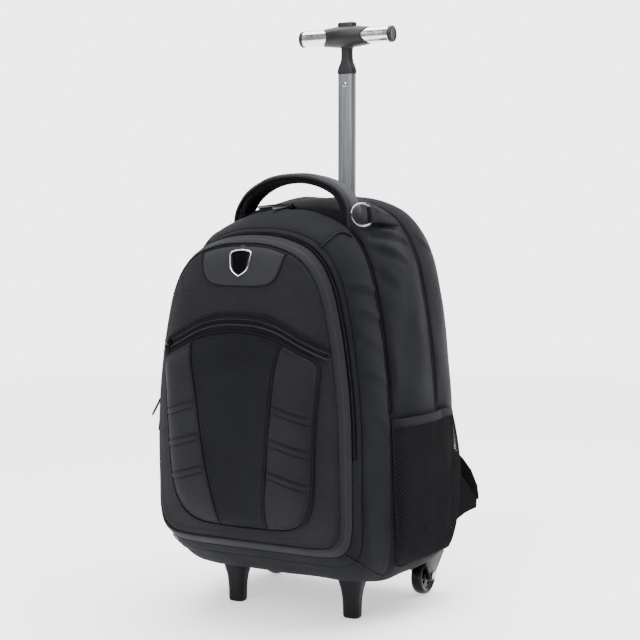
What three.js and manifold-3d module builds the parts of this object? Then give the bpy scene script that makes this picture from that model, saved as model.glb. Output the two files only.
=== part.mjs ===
// Wheeled backpack: a cloth bag of three compartments on two front feet and two rear wheels,
// with a telescopic mast and a T grip. Lengths are millimetres. X runs to the right of someone
// who faces the front pocket, Y to the back, Z up from the floor. While building, Y is
// measured from the wheel axle; the last lines centre the whole over its own footprint.
import * as THREE from 'three';
import { mergeVertices } from 'three/addons/utils/BufferGeometryUtils.js';
import Module from 'manifold-3d';

const wasm = await Module();
wasm.setup();

// Driving dimensions of the bag
const bagWidth = 294;
const bagHeight = 465;
const bagDepth = 273;
const bagClearance = 45;
const axleToBack = 30;
const clothWall = 3;
const pieceGap = 0.3;
const frontBulge = 26;
const backBulge = 6;
const zipSlit = 8;
const zipTape = 4;
const zipTapeThickness = 1.5;
const zipTeethWidth = 4;
const frontZipBehindSeam = 10;
const frontGussetDepth = 28;
const middleZipBehindSeam = 86;
const rearZipBehindSeam = 198;
const frontZipEndHeight = 210;
const sideZipEndHeight = 252;

// Front pocket and badge
const organiserWidth = 204;
const organiserHeight = 231;
const organiserBase = 122;
const organiserPuff = 17;
const organiserWall = 2.2;
const quiltGrooveWidth = 6;
const quiltGrooveDepth = 0.9;
const archZipWidth = 12;
const archZipHeight = 2.4;
const badgePanelWidth = 106;
const badgePanelDrop = 46;
const badgePanelThickness = 1.6;
const badgeWidth = 28;
const badgeHeight = 32;
const badgeRimThickness = 3;
const badgeFaceThickness = 2;

// Side pockets
const pocketDepth = 152;
const pocketHeight = 176;
const pocketTop = 246;
const pocketFrontY = -154;
const pocketPuff = 15.5;
const pocketRim = 7.5;
const pocketFullness = 20;
const pocketFrontLean = 9;
const meshWall = 1.6;
const bindingHeight = 9;
const bindingThickness = 3;

// Carry handle, D ring and zip pulls
const handleSpan = 154;
const handleRise = 50;
const handleSink = 15.5;
const handleWidth = 35;
const handleEndWidth = 24;
const handleThickness = 12;
const handleY = -131;
const ringWidth = 21;
const ringDrop = 24;
const ringWire = 3;
const ringTilt = 0.02;
const tabWidth = 18;
const tabThickness = 2.4;
const tabLength = 38;
const tabX = 94;
const tabY = -113;
const pullLength = 28;
const slitBehindPull = 2;
const pullWidth = 6;
const pullThickness = 2;
const sliderLength = 9;
const sliderWidth = 7;
const sliderHeight = 4;

// Straps and padding on the back
const padWidth = 196;
const padHeight = 330;
const padBase = 96;
const padThickness = 9;
const strapWidth = 58;
const strapThickness = 9;
const webbingWidth = 25;
const webbingThickness = 2;
const wingThickness = 3;

// Mast and grip
const mastY = -5;
const mastWidth = 24;
const mastDepth = 12;
const mastCorner = 5;
const mastWall = 1.4;
const mastLength = 440;
const mastRise = 159;
const mastScrewDrop = 14;
const mastScrewRadius = 3;
const sleeveWall = 1.6;
const sleeveClearance = 0.4;
const sleeveDrop = 14;
const collarFlange = 2;
const collarHeight = 3;
const gripAboveMast = 48;
const gripHalfLength = 67;
const gripTubeRadius = 10.4;
const gripTubeWall = 1.6;
const gripHubHalf = 32;
const gripHubRadius = 11;
const gripHubBulge = 3;
const gripNeckWidth = 15;
const gripCapLength = 5;
const buttonLength = 26;
const buttonWidth = 12;
const buttonProud = 4;
const buttonTravel = 4;

// Feet and wheels
const footSpacing = 164;
const footY = -143;
const footSoleWidth = 20;
const footSoleDepth = 16;
const wheelSpacing = 220;
const wheelRadius = 25;
const wheelWidth = 15;
const tyreThickness = 5;
const axleRadius = 3;
const forkPlate = 3;
const forkGap = 2.5;
const forkTopLength = 54;
const forkFoot = 7;
const axleHeadRadius = 5;
const axleHeadLength = 1.6;

// Values worked out from the driving dimensions
const backY = axleToBack;
const frontY = backY - bagDepth;
const frontZipY = frontY + frontZipBehindSeam;
const gussetEndY = frontY + frontGussetDepth;
const middleZipY = frontY + middleZipBehindSeam;
const rearZipY = frontY + rearZipBehindSeam;
const middleHeight = bagClearance + bagHeight / 2;

// Depth sections of the bag, as shares: back of bagDepth, half of half the bagWidth,
// top and base of bagHeight above the lowest cloth
const depthRows = [
  { back: 0.00, half: 0.864, top: 0.892, base: 0.116 },
  { back: 0.05, half: 0.884, top: 0.904, base: 0.094 },
  { back: 0.10, half: 0.902, top: 0.916, base: 0.072 },
  { back: 0.21, half: 0.930, top: 0.944, base: 0.030 },
  { back: 0.32, half: 0.952, top: 0.964, base: 0.006 },
  { back: 0.53, half: 0.980, top: 0.983, base: 0.000 },
  { back: 0.75, half: 1.000, top: 0.996, base: 0.000 },
  { back: 0.88, half: 0.984, top: 1.000, base: 0.006 },
  { back: 1.00, half: 0.925, top: 0.985, base: 0.026 },
];

// Half of the bag's outline, as shares: out of the half width, up of the height
const outlineRows = [
  { out: 0.00, up: 0.000 },
  { out: 0.40, up: 0.000 },
  { out: 0.72, up: 0.002 },
  { out: 0.88, up: 0.012 },
  { out: 0.965, up: 0.038 },
  { out: 1.00, up: 0.085 },
  { out: 1.00, up: 0.200 },
  { out: 0.995, up: 0.380 },
  { out: 0.975, up: 0.500 },
  { out: 0.935, up: 0.620 },
  { out: 0.875, up: 0.740 },
  { out: 0.800, up: 0.840 },
  { out: 0.700, up: 0.908 },
  { out: 0.560, up: 0.956 },
  { out: 0.360, up: 0.985 },
  { out: 0.180, up: 0.997 },
  { out: 0.00, up: 1.000 },
];
const halfRays = 20;
const rays = 2 * halfRays;

// How far each stretch between two seams swells, and the creases pressed into the right side
const swellRows = [
  { from: frontY, to: gussetEndY, swell: 0.6 },
  { from: gussetEndY, to: middleZipY, swell: 3.5 },
  { from: middleZipY + zipSlit, to: rearZipY, swell: 5 },
  { from: rearZipY + zipSlit, to: backY, swell: 1.5 },
];
const creaseRows = [
  { up: 0.531, from: gussetEndY, to: middleZipY, depth: 2.2 },
  { up: 0.467, from: gussetEndY + 18, to: middleZipY, depth: 1.8 },
  { up: 0.333, from: gussetEndY + 12, to: middleZipY, depth: 2.0 },
  { up: 0.882, from: middleZipY + 20, to: rearZipY - 20, depth: 2.0 },
];
const creaseReach = 14;

const stations = [
  frontY, frontZipY, gussetEndY, gussetEndY + 14, gussetEndY + 34,
  middleZipY, middleZipY + zipSlit + 14, middleZipY + zipSlit + 50,
  middleZipY + zipSlit + 86, rearZipY, rearZipY + zipSlit + 24,
  backY - 18, backY - 6, backY,
];

// Piecewise cubic through the rows of a table, with the slopes of its neighbours
function readTable(rows, key, place, column) {
  const last = rows.length - 1;
  let k = rows.findIndex((row, j) => j < last && place <= rows[j + 1][key]);
  if (k < 0) k = last - 1;
  const slope = (j) => {
    const a = rows[Math.max(j - 1, 0)];
    const b = rows[Math.min(j + 1, last)];
    return (b[column] - a[column]) / (b[key] - a[key]);
  };
  const step = rows[k + 1][key] - rows[k][key];
  const t = Math.min(Math.max((place - rows[k][key]) / step, 0), 1);
  const a = rows[k][column];
  const b = rows[k + 1][column];
  const ease = t * t * (3 - 2 * t);
  const bend = (t - 2 * t * t + t * t * t) * slope(k) + (t * t * t - t * t) * slope(k + 1);
  return a + (b - a) * ease + bend * step;
}

const point = (x, y, z) => new THREE.Vector3(x, y, z);

const halfWidthAt = (y) => readTable(depthRows, 'back', (y - frontY) / bagDepth, 'half') * bagWidth / 2;
const topAt = (y) => bagClearance + bagHeight * readTable(depthRows, 'back', (y - frontY) / bagDepth, 'top');
const baseAt = (y) => bagClearance + bagHeight * readTable(depthRows, 'back', (y - frontY) / bagDepth, 'base');

const sleeveTopHeight = topAt(mastY) - sleeveDrop;
const mastTopHeight = topAt(mastY) + mastRise;
const gripHeight = mastTopHeight + gripAboveMast;

// Evenly spaced shares round half of the outline
const outlineCurve = new THREE.CatmullRomCurve3(
  outlineRows.map((row) => point(row.out * bagWidth / 2, 0, row.up * bagHeight)), false, 'centripetal');
const outline = outlineCurve.getSpacedPoints(halfRays)
  .map((p) => ({ out: 2 * p.x / bagWidth, up: p.z / bagHeight }));

function flatPoint(ray, y) {
  const k = ((ray % rays) + rays) % rays;
  const right = k <= halfRays;
  const share = outline[right ? k : rays - k];
  const base = baseAt(y);
  return point((right ? 1 : -1) * share.out * halfWidthAt(y), y, base + share.up * (topAt(y) - base));
}

function swellAt(ray, y) {
  const band = swellRows.find((row) => y > row.from && y < row.to);
  if (!band) return 0;
  const flat = flatPoint(ray, y);
  const arc = Math.sqrt(Math.sin(Math.PI * (y - band.from) / (band.to - band.from)));
  const sideways = Math.min(1, (flat.z - baseAt(y)) / (0.15 * bagHeight));
  let swell = band.swell * sideways;
  for (const row of creaseRows) {
    if (flat.x < 0 || y <= row.from || y >= row.to) continue;
    const near = (flat.z - bagClearance - row.up * bagHeight) / creaseReach;
    swell -= row.depth * Math.exp(-near * near);
  }
  return swell * arc;
}

// A point of the bag's form without and with its swell, moved outward by a given distance
function seamPoint(ray, y, outward = 0) {
  const along = flatPoint(ray + 1, y).sub(flatPoint(ray - 1, y));
  const normal = point(along.z, 0, -along.x).normalize();
  return flatPoint(ray, y).addScaledVector(normal, outward);
}
const skinPoint = (ray, y, outward = 0) => seamPoint(ray, y, outward + swellAt(ray, y));

const skinRing = (y, outward = 0) => Array.from({ length: rays }, (_, k) => skinPoint(k, y, outward));
const seamArc = (y, outward, from, to) => Array.from(
  { length: to - from + 1 }, (_, k) => seamPoint(from + k, y, outward));

// The domed front face and the nearly flat back face, as rings drawn in towards one middle point
const frontShares = [1, 0.93, 0.78, 0.42];
const backShares = [1, 0.9, 0.5];
const domeOf = (share) => Math.sqrt(Math.max(0, 1 - share ** 6));
const frontMiddle = (topAt(frontY) + baseAt(frontY)) / 2;
const backMiddle = (topAt(backY) + baseAt(backY)) / 2;

function frontRise(share, z) {
  const up = Math.min(Math.max((z - baseAt(frontY)) / (0.33 * bagHeight), 0), 1);
  return frontBulge * domeOf(share) * (0.4 + 0.6 * up * (2 - up));
}

function faceRings(y, middle, shares, rise, direction, outward) {
  const edge = skinRing(y, outward);
  const rings = shares.map((share) => edge.map((p) => {
    const z = middle + (p.z - middle) * share;
    return point(p.x * share, y + direction * (outward + rise(share, z)), z);
  }));
  return [[point(0, y + direction * (outward + rise(0, middle)), middle)], ...rings.reverse()];
}

const frontRings = (outward) => faceRings(frontY, frontMiddle, frontShares, frontRise, -1, outward);
const backRise = (share) => backBulge * domeOf(share);
const backRings = (outward) => faceRings(backY, backMiddle, backShares, backRise, 1, outward);

// Share of the way from the face's middle to its edge at a place on the front panel
const frontEdge = skinRing(frontY);
function frontShare(x, z) {
  const dx = x;
  const dz = z - frontMiddle;
  for (let k = 0; k < rays; k += 1) {
    const a = frontEdge[k];
    const b = frontEdge[(k + 1) % rays];
    const det = dx * (b.z - a.z) - dz * (b.x - a.x);
    if (Math.abs(det) < 1e-9) continue;
    const t = (a.x * (b.z - a.z) - (a.z - frontMiddle) * (b.x - a.x)) / det;
    const s = (a.x * dz - (a.z - frontMiddle) * dx) / det;
    if (t > 0 && s >= -1e-6 && s <= 1 + 1e-6) return 1 / t;
  }
  return 0;
}
const frontFaceY = (x, z) => frontY - frontRise(Math.min(frontShare(x, z), 1), z);

// Closed solids from rings of points; a ring of one point closes an end
function capTriangles(loop) {
  const normal = point(0, 0, 0);
  loop.forEach((p, k) => normal.add(point(0, 0, 0).crossVectors(p, loop[(k + 1) % loop.length])));
  normal.normalize();
  const across = point(0, 0, 0).subVectors(loop[1], loop[0]).normalize();
  const up = point(0, 0, 0).crossVectors(normal, across);
  const flat = loop.map((p) => new THREE.Vector2(p.dot(across), p.dot(up)));
  return THREE.ShapeUtils.triangulateShape(flat, []);
}

function solidFromRings(rings, { around = true, closed = false } = {}) {
  const positions = [];
  const starts = rings.map((ring) => {
    const start = positions.length;
    positions.push(...ring);
    return start;
  });
  const faces = [];
  const spans = closed ? rings.length : rings.length - 1;
  for (let r = 0; r < spans; r += 1) {
    const next = (r + 1) % rings.length;
    const size = Math.max(rings[r].length, rings[next].length);
    const steps = around ? size : size - 1;
    for (let k = 0; k < steps; k += 1) {
      const here = (ring, j) => starts[ring] + (rings[ring].length === 1 ? 0 : j % rings[ring].length);
      const [a, b] = [here(r, k), here(r, k + 1)];
      const [c, d] = [here(next, k + 1), here(next, k)];
      if (a !== b) faces.push([a, b, c]);
      if (c !== d) faces.push([a, c, d]);
    }
  }
  if (!around) {
    const size = rings[0].length;
    for (const end of [0, size - 1]) {
      const loop = rings.map((ring) => ring[end]);
      for (const [a, b, c] of capTriangles(loop)) {
        const corner = [starts[a] + end, starts[b] + end, starts[c] + end];
        faces.push(end === 0 ? corner : corner.reverse());
      }
    }
  }
  if (around && !closed) {
    for (const end of [0, rings.length - 1]) {
      if (rings[end].length === 1) continue;
      for (const [a, b, c] of capTriangles(rings[end])) {
        const corner = [starts[end] + a, starts[end] + b, starts[end] + c];
        faces.push(end === 0 ? corner.reverse() : corner);
      }
    }
  }
  return solidFromFaces(positions, faces);
}

function solidFromFaces(positions, faces) {
  const volume = faces.reduce((sum, [a, b, c]) => sum + positions[a].dot(
    point(0, 0, 0).crossVectors(positions[b], positions[c])), 0);
  const triVerts = Uint32Array.from(faces.flatMap((face) => (volume < 0 ? [...face].reverse() : face)));
  const vertProperties = Float32Array.from(positions.flatMap((p) => [p.x, p.y, p.z]));
  return new wasm.Manifold(new wasm.Mesh({ numProp: 3, vertProperties, triVerts }));
}

function solidOf(source) {
  const plain = source.clone();
  for (const name of Object.keys(plain.attributes)) {
    if (name !== 'position') plain.deleteAttribute(name);
  }
  const merged = mergeVertices(plain, 1e-4);
  const vertProperties = new Float32Array(merged.attributes.position.array);
  const triVerts = new Uint32Array(merged.index.array);
  return new wasm.Manifold(new wasm.Mesh({ numProp: 3, vertProperties, triVerts }));
}

function geometryOf(solid) {
  const { vertProperties, triVerts } = solid.getMesh();
  const geometry = new THREE.BufferGeometry();
  geometry.setAttribute('position', new THREE.BufferAttribute(vertProperties, 3));
  geometry.setIndex(new THREE.BufferAttribute(triVerts, 1));
  geometry.computeVertexNormals();
  return geometry;
}

// The main body of a cut, without the loose slivers that the cut leaves at its rim
const largestBody = (solid) => solid.decompose().sort((a, b) => b.volume() - a.volume())[0];

const box = (width, depth, height, x, y, z) => solidOf(
  new THREE.BoxGeometry(width, depth, height).translate(x, y, z));

// A flat outline drawn in X and Z, pushed through the bag along Y
function prism(corners, fromY, toY) {
  const shape = new THREE.Shape(corners.map(([x, z]) => new THREE.Vector2(x, z)));
  const geometry = new THREE.ExtrudeGeometry(shape, { depth: toY - fromY, bevelEnabled: false });
  return solidOf(geometry.rotateX(Math.PI / 2).translate(0, toY, 0));
}

// The whole outer form of the bag, grown by a distance; neighbours are cut by it
const grownBags = new Map();
function bagForm(outward) {
  if (!grownBags.has(outward)) {
    const rings = [
      ...frontRings(outward),
      ...stations.slice(1, -1).map((y) => skinRing(y, outward)),
      ...backRings(outward).reverse(),
    ];
    grownBags.set(outward, solidFromRings(rings));
  }
  return grownBags.get(outward);
}

// A layer of cloth lying on the bag inside a flat outline
function patch(cutter, thickness, lift = pieceGap) {
  return bagForm(lift + thickness).intersect(cutter).subtract(bagForm(lift));
}

// Finishes
const finish = (color, roughness, metalness) => ({ color, roughness, metalness });
const finishes = {
  cloth: finish(0x17181b, 0.72, 0),
  twill: finish(0x1b1c20, 0.66, 0),
  smooth: finish(0x101114, 0.55, 0),
  mesh: finish(0x141518, 0.85, 0),
  webbing: finish(0x121316, 0.7, 0),
  zip: finish(0x0c0d0f, 0.5, 0),
  plastic: finish(0x191a1c, 0.42, 0),
  rubber: finish(0x101011, 0.35, 0),
  aluminium: finish(0xb9bcc2, 0.34, 1),
  polished: finish(0xd0d3d8, 0.2, 1),
  chrome: finish(0xc9ccd2, 0.14, 1),
  gunmetal: finish(0x3a3c40, 0.3, 1),
  greyPlastic: finish(0x8d9095, 0.45, 0),
};

const backpack = new THREE.Group();

function place(name, solid, look, parent = backpack) {
  const geometry = solid.isBufferGeometry ? solid : geometryOf(solid);
  const mesh = new THREE.Mesh(geometry, new THREE.MeshStandardMaterial(finishes[look]));
  mesh.name = name;
  parent.add(mesh);
  return mesh;
}

// Cloth compartments, each open towards the next one
const within = (from, to) => stations.filter((y) => y > from + 0.5 && y < to - 0.5);
const slitAbove = (fromY, height) => box(
  2 * bagWidth, zipSlit + pieceGap, bagHeight, 0, fromY + (zipSlit + pieceGap) / 2, height + bagHeight / 2);

function clothBand(fromY, toY, partition) {
  const ys = [fromY, ...within(fromY, toY), toY];
  const outer = ys.map((y) => skinRing(y));
  const inner = ys.map((y) => skinRing(y, -clothWall)).reverse();
  if (!partition) return solidFromRings([...outer, ...inner], { closed: true });
  const wall = skinRing(fromY + partition, -clothWall);
  const middle = (topAt(fromY) + baseAt(fromY)) / 2;
  return solidFromRings([
    [point(0, fromY, middle)], ...outer, ...inner.slice(0, -1), wall, [point(0, fromY + partition, middle)],
  ]);
}

const partitionWall = 1.6;

function addCompartments() {
  const rim = frontZipY - pieceGap;
  const innerFace = frontRings(-clothWall);
  place('front_panel', solidFromRings([
    ...frontRings(0), skinRing(rim), skinRing(rim, -clothWall), ...innerFace.reverse(),
  ]), 'twill');

  const gusset = clothBand(frontZipY, gussetEndY - pieceGap);
  place('front_gusset', gusset.subtract(slitAbove(frontZipY - pieceGap, frontZipEndHeight)), 'cloth');

  place('middle_compartment', clothBand(gussetEndY, middleZipY - pieceGap, partitionWall), 'cloth');

  const main = clothBand(middleZipY, rearZipY - pieceGap);
  place('main_compartment', main.subtract(slitAbove(middleZipY - pieceGap, sideZipEndHeight)), 'cloth');

  const ys = [rearZipY, ...within(rearZipY, backY)];
  const rear = solidFromRings([
    ...ys.map((y) => skinRing(y)),
    ...backRings(0).reverse(),
    ...backRings(-clothWall),
    ...ys.map((y) => skinRing(y, -clothWall)).reverse(),
  ], { closed: true });
  return rear.subtract(slitAbove(rearZipY - pieceGap, sideZipEndHeight));
}

// A zip in the slit between two cloths: its tape lies under both, its teeth stand between them
function zipBand(fromY, endHeight) {
  const under = -clothWall - 2 * pieceGap;
  const teethFrom = fromY + (zipSlit - zipTeethWidth) / 2;
  const profile = [
    { y: fromY - zipTape, out: under }, { y: teethFrom, out: under },
    { y: teethFrom, out: -1.2 }, { y: teethFrom + zipTeethWidth, out: -1.2 },
    { y: teethFrom + zipTeethWidth, out: under }, { y: fromY + zipSlit + zipTape, out: under },
    { y: fromY + zipSlit + zipTape, out: under - zipTapeThickness },
    { y: fromY - zipTape, out: under - zipTapeThickness },
  ];
  const first = Array.from({ length: halfRays }, (_, k) => k)
    .find((k) => flatPoint(k, fromY).z > endHeight + 2);
  return solidFromRings(
    profile.map(({ y, out }) => seamArc(y, out, first, rays - first)), { around: false, closed: true });
}

function addZips() {
  place('front_zip', zipBand(frontZipY, frontZipEndHeight), 'zip');
  place('middle_zip', zipBand(middleZipY, sideZipEndHeight), 'zip');
  place('rear_zip', zipBand(rearZipY, sideZipEndHeight), 'zip');
}

// Front pocket, quilted at both sides of a plain middle panel; shares of its half width and height
const organiserRows = [
  { out: 0.00, up: 0.000 },
  { out: 0.40, up: 0.004 },
  { out: 0.62, up: 0.016 },
  { out: 0.78, up: 0.055 },
  { out: 0.90, up: 0.150 },
  { out: 0.945, up: 0.300 },
  { out: 0.965, up: 0.500 },
  { out: 1.00, up: 0.720 },
  { out: 1.00, up: 0.855 },
  { out: 0.80, up: 0.905 },
  { out: 0.50, up: 0.965 },
  { out: 0.22, up: 0.993 },
  { out: 0.00, up: 1.000 },
];
const panelLineRows = [
  { up: -0.1, half: 0.30 },
  { up: 0.10, half: 0.33 },
  { up: 0.35, half: 0.41 },
  { up: 0.65, half: 0.49 },
  { up: 0.88, half: 0.57 },
  { up: 1.10, half: 0.66 },
];
const quiltRows = [
  { up: 0.650, drop: 0.065 },
  { up: 0.485, drop: 0.065 },
  { up: 0.320, drop: 0.070 },
];

function organiserForm(inset) {
  const half = organiserWidth / 2;
  const curve = new THREE.CatmullRomCurve3(
    organiserRows.map((row) => point(row.out * (half - inset), 0, row.up * (organiserHeight - inset))),
    false, 'centripetal');
  const right = curve.getSpacedPoints(10);
  const left = right.slice(1, -1).reverse().map((p) => point(-p.x, 0, p.z));
  const edge = [...right, ...left];
  const middle = 0.52 * organiserHeight;
  const ring = (share, back) => edge.map((p) => {
    const x = p.x * share;
    const z = middle + (p.z - middle) * share;
    const puff = organiserPuff * Math.sqrt(1 - share ** 9) * (0.62 + 0.38 * z / organiserHeight);
    const y = frontFaceY(x, z + organiserBase) - puff + inset + back;
    return point(x, y, z + organiserBase);
  });
  const shares = [0.55, 0.88, 0.98, 1];
  const pole = point(0, ring(0, 0)[0].y, organiserBase + middle);
  const deep = ring(1, 0).map((p) => point(p.x, frontY + 2, p.z));
  return solidFromRings([
    [pole], ...shares.map((share) => ring(share, 0)), deep, [point(0, frontY + 2, organiserBase + middle)],
  ]);
}

function addOrganiser() {
  const half = organiserWidth / 2;
  const outer = organiserForm(0);
  const shell = outer.subtract(organiserForm(organiserWall)).subtract(bagForm(pieceGap));
  const strip = (grow) => {
    const right = panelLineRows.map((row) => [row.half * half + grow, organiserBase + row.up * organiserHeight]);
    const left = right.map(([x, z]) => [-x, z]).reverse();
    return prism([...right, ...left], frontY - 120, frontY + 20);
  };
  place('organiser_centre', largestBody(shell.intersect(strip(-pieceGap / 2))), 'smooth');

  const sunk = outer.subtract(outer.translate([0, quiltGrooveDepth, 0]));
  let quilted = shell.subtract(strip(pieceGap / 2));
  for (const row of quiltRows) {
    const z = organiserBase + row.up * organiserHeight;
    const inner = readTable(panelLineRows, 'up', row.up, 'half') * half + 3.5;
    for (const side of [-1, 1]) {
      const fall = row.drop * organiserHeight;
      const corners = [
        [side * inner, z], [side * (half + 4), z - fall],
        [side * (half + 4), z - fall - quiltGrooveWidth], [side * inner, z - quiltGrooveWidth],
      ];
      const ordered = side > 0 ? corners.reverse() : corners;
      quilted = quilted.subtract(prism(ordered, frontY - 120, frontY + 20).intersect(sunk));
    }
  }
  for (const [name, side] of [['right', 1], ['left', -1]]) {
    const reach = box(half + 20, 200, 2 * organiserHeight, side * (half + 20) / 2, frontY, middleHeight);
    place(`organiser_side_${name}`, largestBody(quilted.intersect(reach)), 'twill');
  }
}

// The arched zip over the pocket, as shares of half the organiser's width and its height
const archRows = [
  { across: 0.00, up: 1.022 },
  { across: 0.28, up: 1.014 },
  { across: 0.52, up: 0.985 },
  { across: 0.80, up: 0.925 },
  { across: 1.10, up: 0.865 },
];

function addArchZip() {
  const edge = (grow) => {
    const right = archRows.map((row) => [
      row.across * organiserWidth / 2, organiserBase + row.up * organiserHeight + 3 + grow]);
    return [...right.slice(1).reverse().map(([x, z]) => [-x, z]), ...right];
  };
  const band = prism([...edge(0), ...edge(archZipWidth).reverse()], frontY - 120, frontY + 20);
  const clear = organiserForm(-pieceGap);
  place('arch_zip', patch(band, archZipHeight).subtract(clear), 'zip');
}

// Badge panel near the top of the front, and the bare shield on it
const badgePanelRows = [
  { out: 1.16, up: 1.00 },
  { out: 1.04, up: 0.74 },
  { out: 1.00, up: 0.52 },
  { out: 0.92, up: 0.26 },
  { out: 0.76, up: 0.08 },
  { out: 0.40, up: 0.00 },
];
const shieldRows = [
  { out: 0.62, up: 1.00 },
  { out: 1.00, up: 0.92 },
  { out: 0.94, up: 0.50 },
  { out: 0.70, up: 0.22 },
];

function symmetricOutline(rows, halfWidth, height, base) {
  const right = rows.map((row) => [row.out * halfWidth, base + row.up * height]);
  return [...right, ...right.slice().reverse().map(([x, z]) => [-x, z])];
}

function addBadge() {
  const top = topAt(frontY) - 9;
  const base = top - badgePanelDrop;
  const panel = prism(
    symmetricOutline(badgePanelRows, badgePanelWidth / 2, badgePanelDrop, base), frontY - 120, frontY - 4);
  place('badge_panel', patch(panel, badgePanelThickness), 'cloth');

  const shieldBase = top - badgePanelDrop / 2 - badgeHeight / 2 + 3;
  const shield = (inset) => {
    const corners = symmetricOutline(
      shieldRows, badgeWidth / 2 - inset, badgeHeight - 2 * inset, shieldBase + inset);
    const middle = corners.length / 2;
    corners.splice(middle, 0, [0, shieldBase + inset]);
    return prism(corners, frontY - 120, frontY - 4);
  };
  const lift = 2 * pieceGap + badgePanelThickness;
  const rim = shield(0).subtract(shield(2.2));
  place('badge_rim', patch(rim, badgeRimThickness, lift), 'chrome');
  place('badge_face', patch(shield(2.2 + pieceGap), badgeFaceThickness, lift), 'smooth');
}

// Net pockets on both sides: one solid of the pocket's outer form, less its inside and the bag
function sideX(y, z) {
  const base = baseAt(y);
  const up = (z - base) / (topAt(y) - base);
  const k = outline.findIndex((share, j) => j > 4 && share.up >= up);
  const low = outline[k - 1];
  const high = outline[k];
  const t = (up - low.up) / (high.up - low.up);
  return (low.out + (high.out - low.out) * t) * halfWidthAt(y);
}

function pocketForm(inset, fromHeight, toHeight, extra = 0) {
  const steps = 6;
  const levels = Math.max(2, Math.round((toHeight - fromHeight) / 34));
  const rings = Array.from({ length: levels + 1 }, (_, r) => {
    const z = fromHeight + (toHeight - fromHeight) * r / levels;
    const down = Math.max(0, (pocketTop - z) / pocketHeight);
    const full = Math.sin(Math.PI * down ** 0.8);
    const front = pocketFrontY + inset + pocketFrontLean * down;
    const back = pocketFrontY + pocketDepth - inset + pocketFullness * full;
    const outer = Array.from({ length: steps + 1 }, (_, k) => {
      const t = k / steps;
      const y = front + (back - front) * t;
      const arc = Math.sqrt(Math.max(0, 1 - (2 * t - 1) ** 4));
      const low = Math.sqrt(Math.max(0, 1 - Math.max(0, (down - 0.3) / 0.7) ** 3));
      const puff = (pocketPuff - pocketRim) * arc * low * (0.75 + 0.6 * t * full);
      return point(sideX(y, z) + pocketRim + puff - inset + extra, y, z);
    });
    return [...outer, point(0.7 * bagWidth / 2, back, z), point(0.7 * bagWidth / 2, front, z)];
  });
  return solidFromRings(rings);
}

const mirrored = (solid) => solid.mirror([1, 0, 0]);
const bothSides = [['right', (solid) => solid], ['left', mirrored]];

function addSidePockets() {
  const low = pocketTop - pocketHeight;
  const split = pocketTop - bindingHeight;
  const net = pocketForm(0, low, split - pieceGap)
    .subtract(pocketForm(meshWall, low + meshWall, split + 10));
  const proud = bindingThickness - meshWall;
  const binding = pocketForm(0, split, pocketTop, proud)
    .subtract(pocketForm(meshWall, split - 10, pocketTop + 10));
  for (const [side, turn] of bothSides) {
    place(`mesh_pocket_${side}`, turn(net).subtract(bagForm(pieceGap)), 'mesh');
    place(`pocket_binding_${side}`, turn(binding).subtract(bagForm(pieceGap)), 'webbing');
  }
}

// A band of a given width and thickness laid along a curve, facing a given way
function ribbon(curve, steps, width, thickness, across, shift = 0) {
  const rings = Array.from({ length: steps + 1 }, (_, k) => {
    const t = k / steps;
    const here = curve.getPointAt(t);
    const along = curve.getTangentAt(t);
    const wide = across(along).normalize();
    const thick = point(0, 0, 0).crossVectors(along, wide).normalize();
    const w = width(t) / 2;
    const h = thickness(t) / 2;
    const round = Math.min(h, w) * 0.6;
    const corners = [
      [-w, -h + round], [-w + round, -h], [w - round, -h], [w, -h + round],
      [w, h - round], [w - round, h], [-w + round, h], [-w, h - round],
    ];
    return corners.map(([a, b]) => here.clone().addScaledVector(wide, a).addScaledVector(thick, b + shift));
  });
  return solidFromRings(rings);
}

// Middle line of the handle from its top to one end: across as a share of half the span,
// up as a share of the rise, forward as a share of the width
const handleRows = [
  { across: 0.00, up: 1.00, forward: 0 },
  { across: 0.45, up: 0.90, forward: 0 },
  { across: 0.80, up: 0.60, forward: 0.02 },
  { across: 0.96, up: 0.24, forward: 0.10 },
  { across: 1.00, up: -0.06, forward: 0.18 },
  { across: 1.01, up: -0.34, forward: 0.20 },
];

function addCarryHandle() {
  const right = handleRows.map((row) => point(
    row.across * handleSpan / 2, handleY - row.forward * handleWidth,
    topAt(handleY) - handleSink + row.up * handleRise));
  const left = right.slice(1).map((p) => point(-p.x, p.y, p.z));
  const path = new THREE.CatmullRomCurve3([...left.reverse(), ...right]);
  const across = () => point(0, 1, 0);
  const half = handleThickness / 2;
  const layer = (name, shift, look) => {
    const width = (t) => handleWidth - (handleWidth - handleEndWidth) * (2 * t - 1) ** 6;
    const band = ribbon(path, 16, width, () => half - pieceGap, across, shift);
    place(name, band.subtract(bagForm(pieceGap)), look);
  };
  layer('carry_handle_cover', -half / 2, 'smooth');
  layer('carry_handle_pad', half / 2, 'mesh');
}

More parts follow.
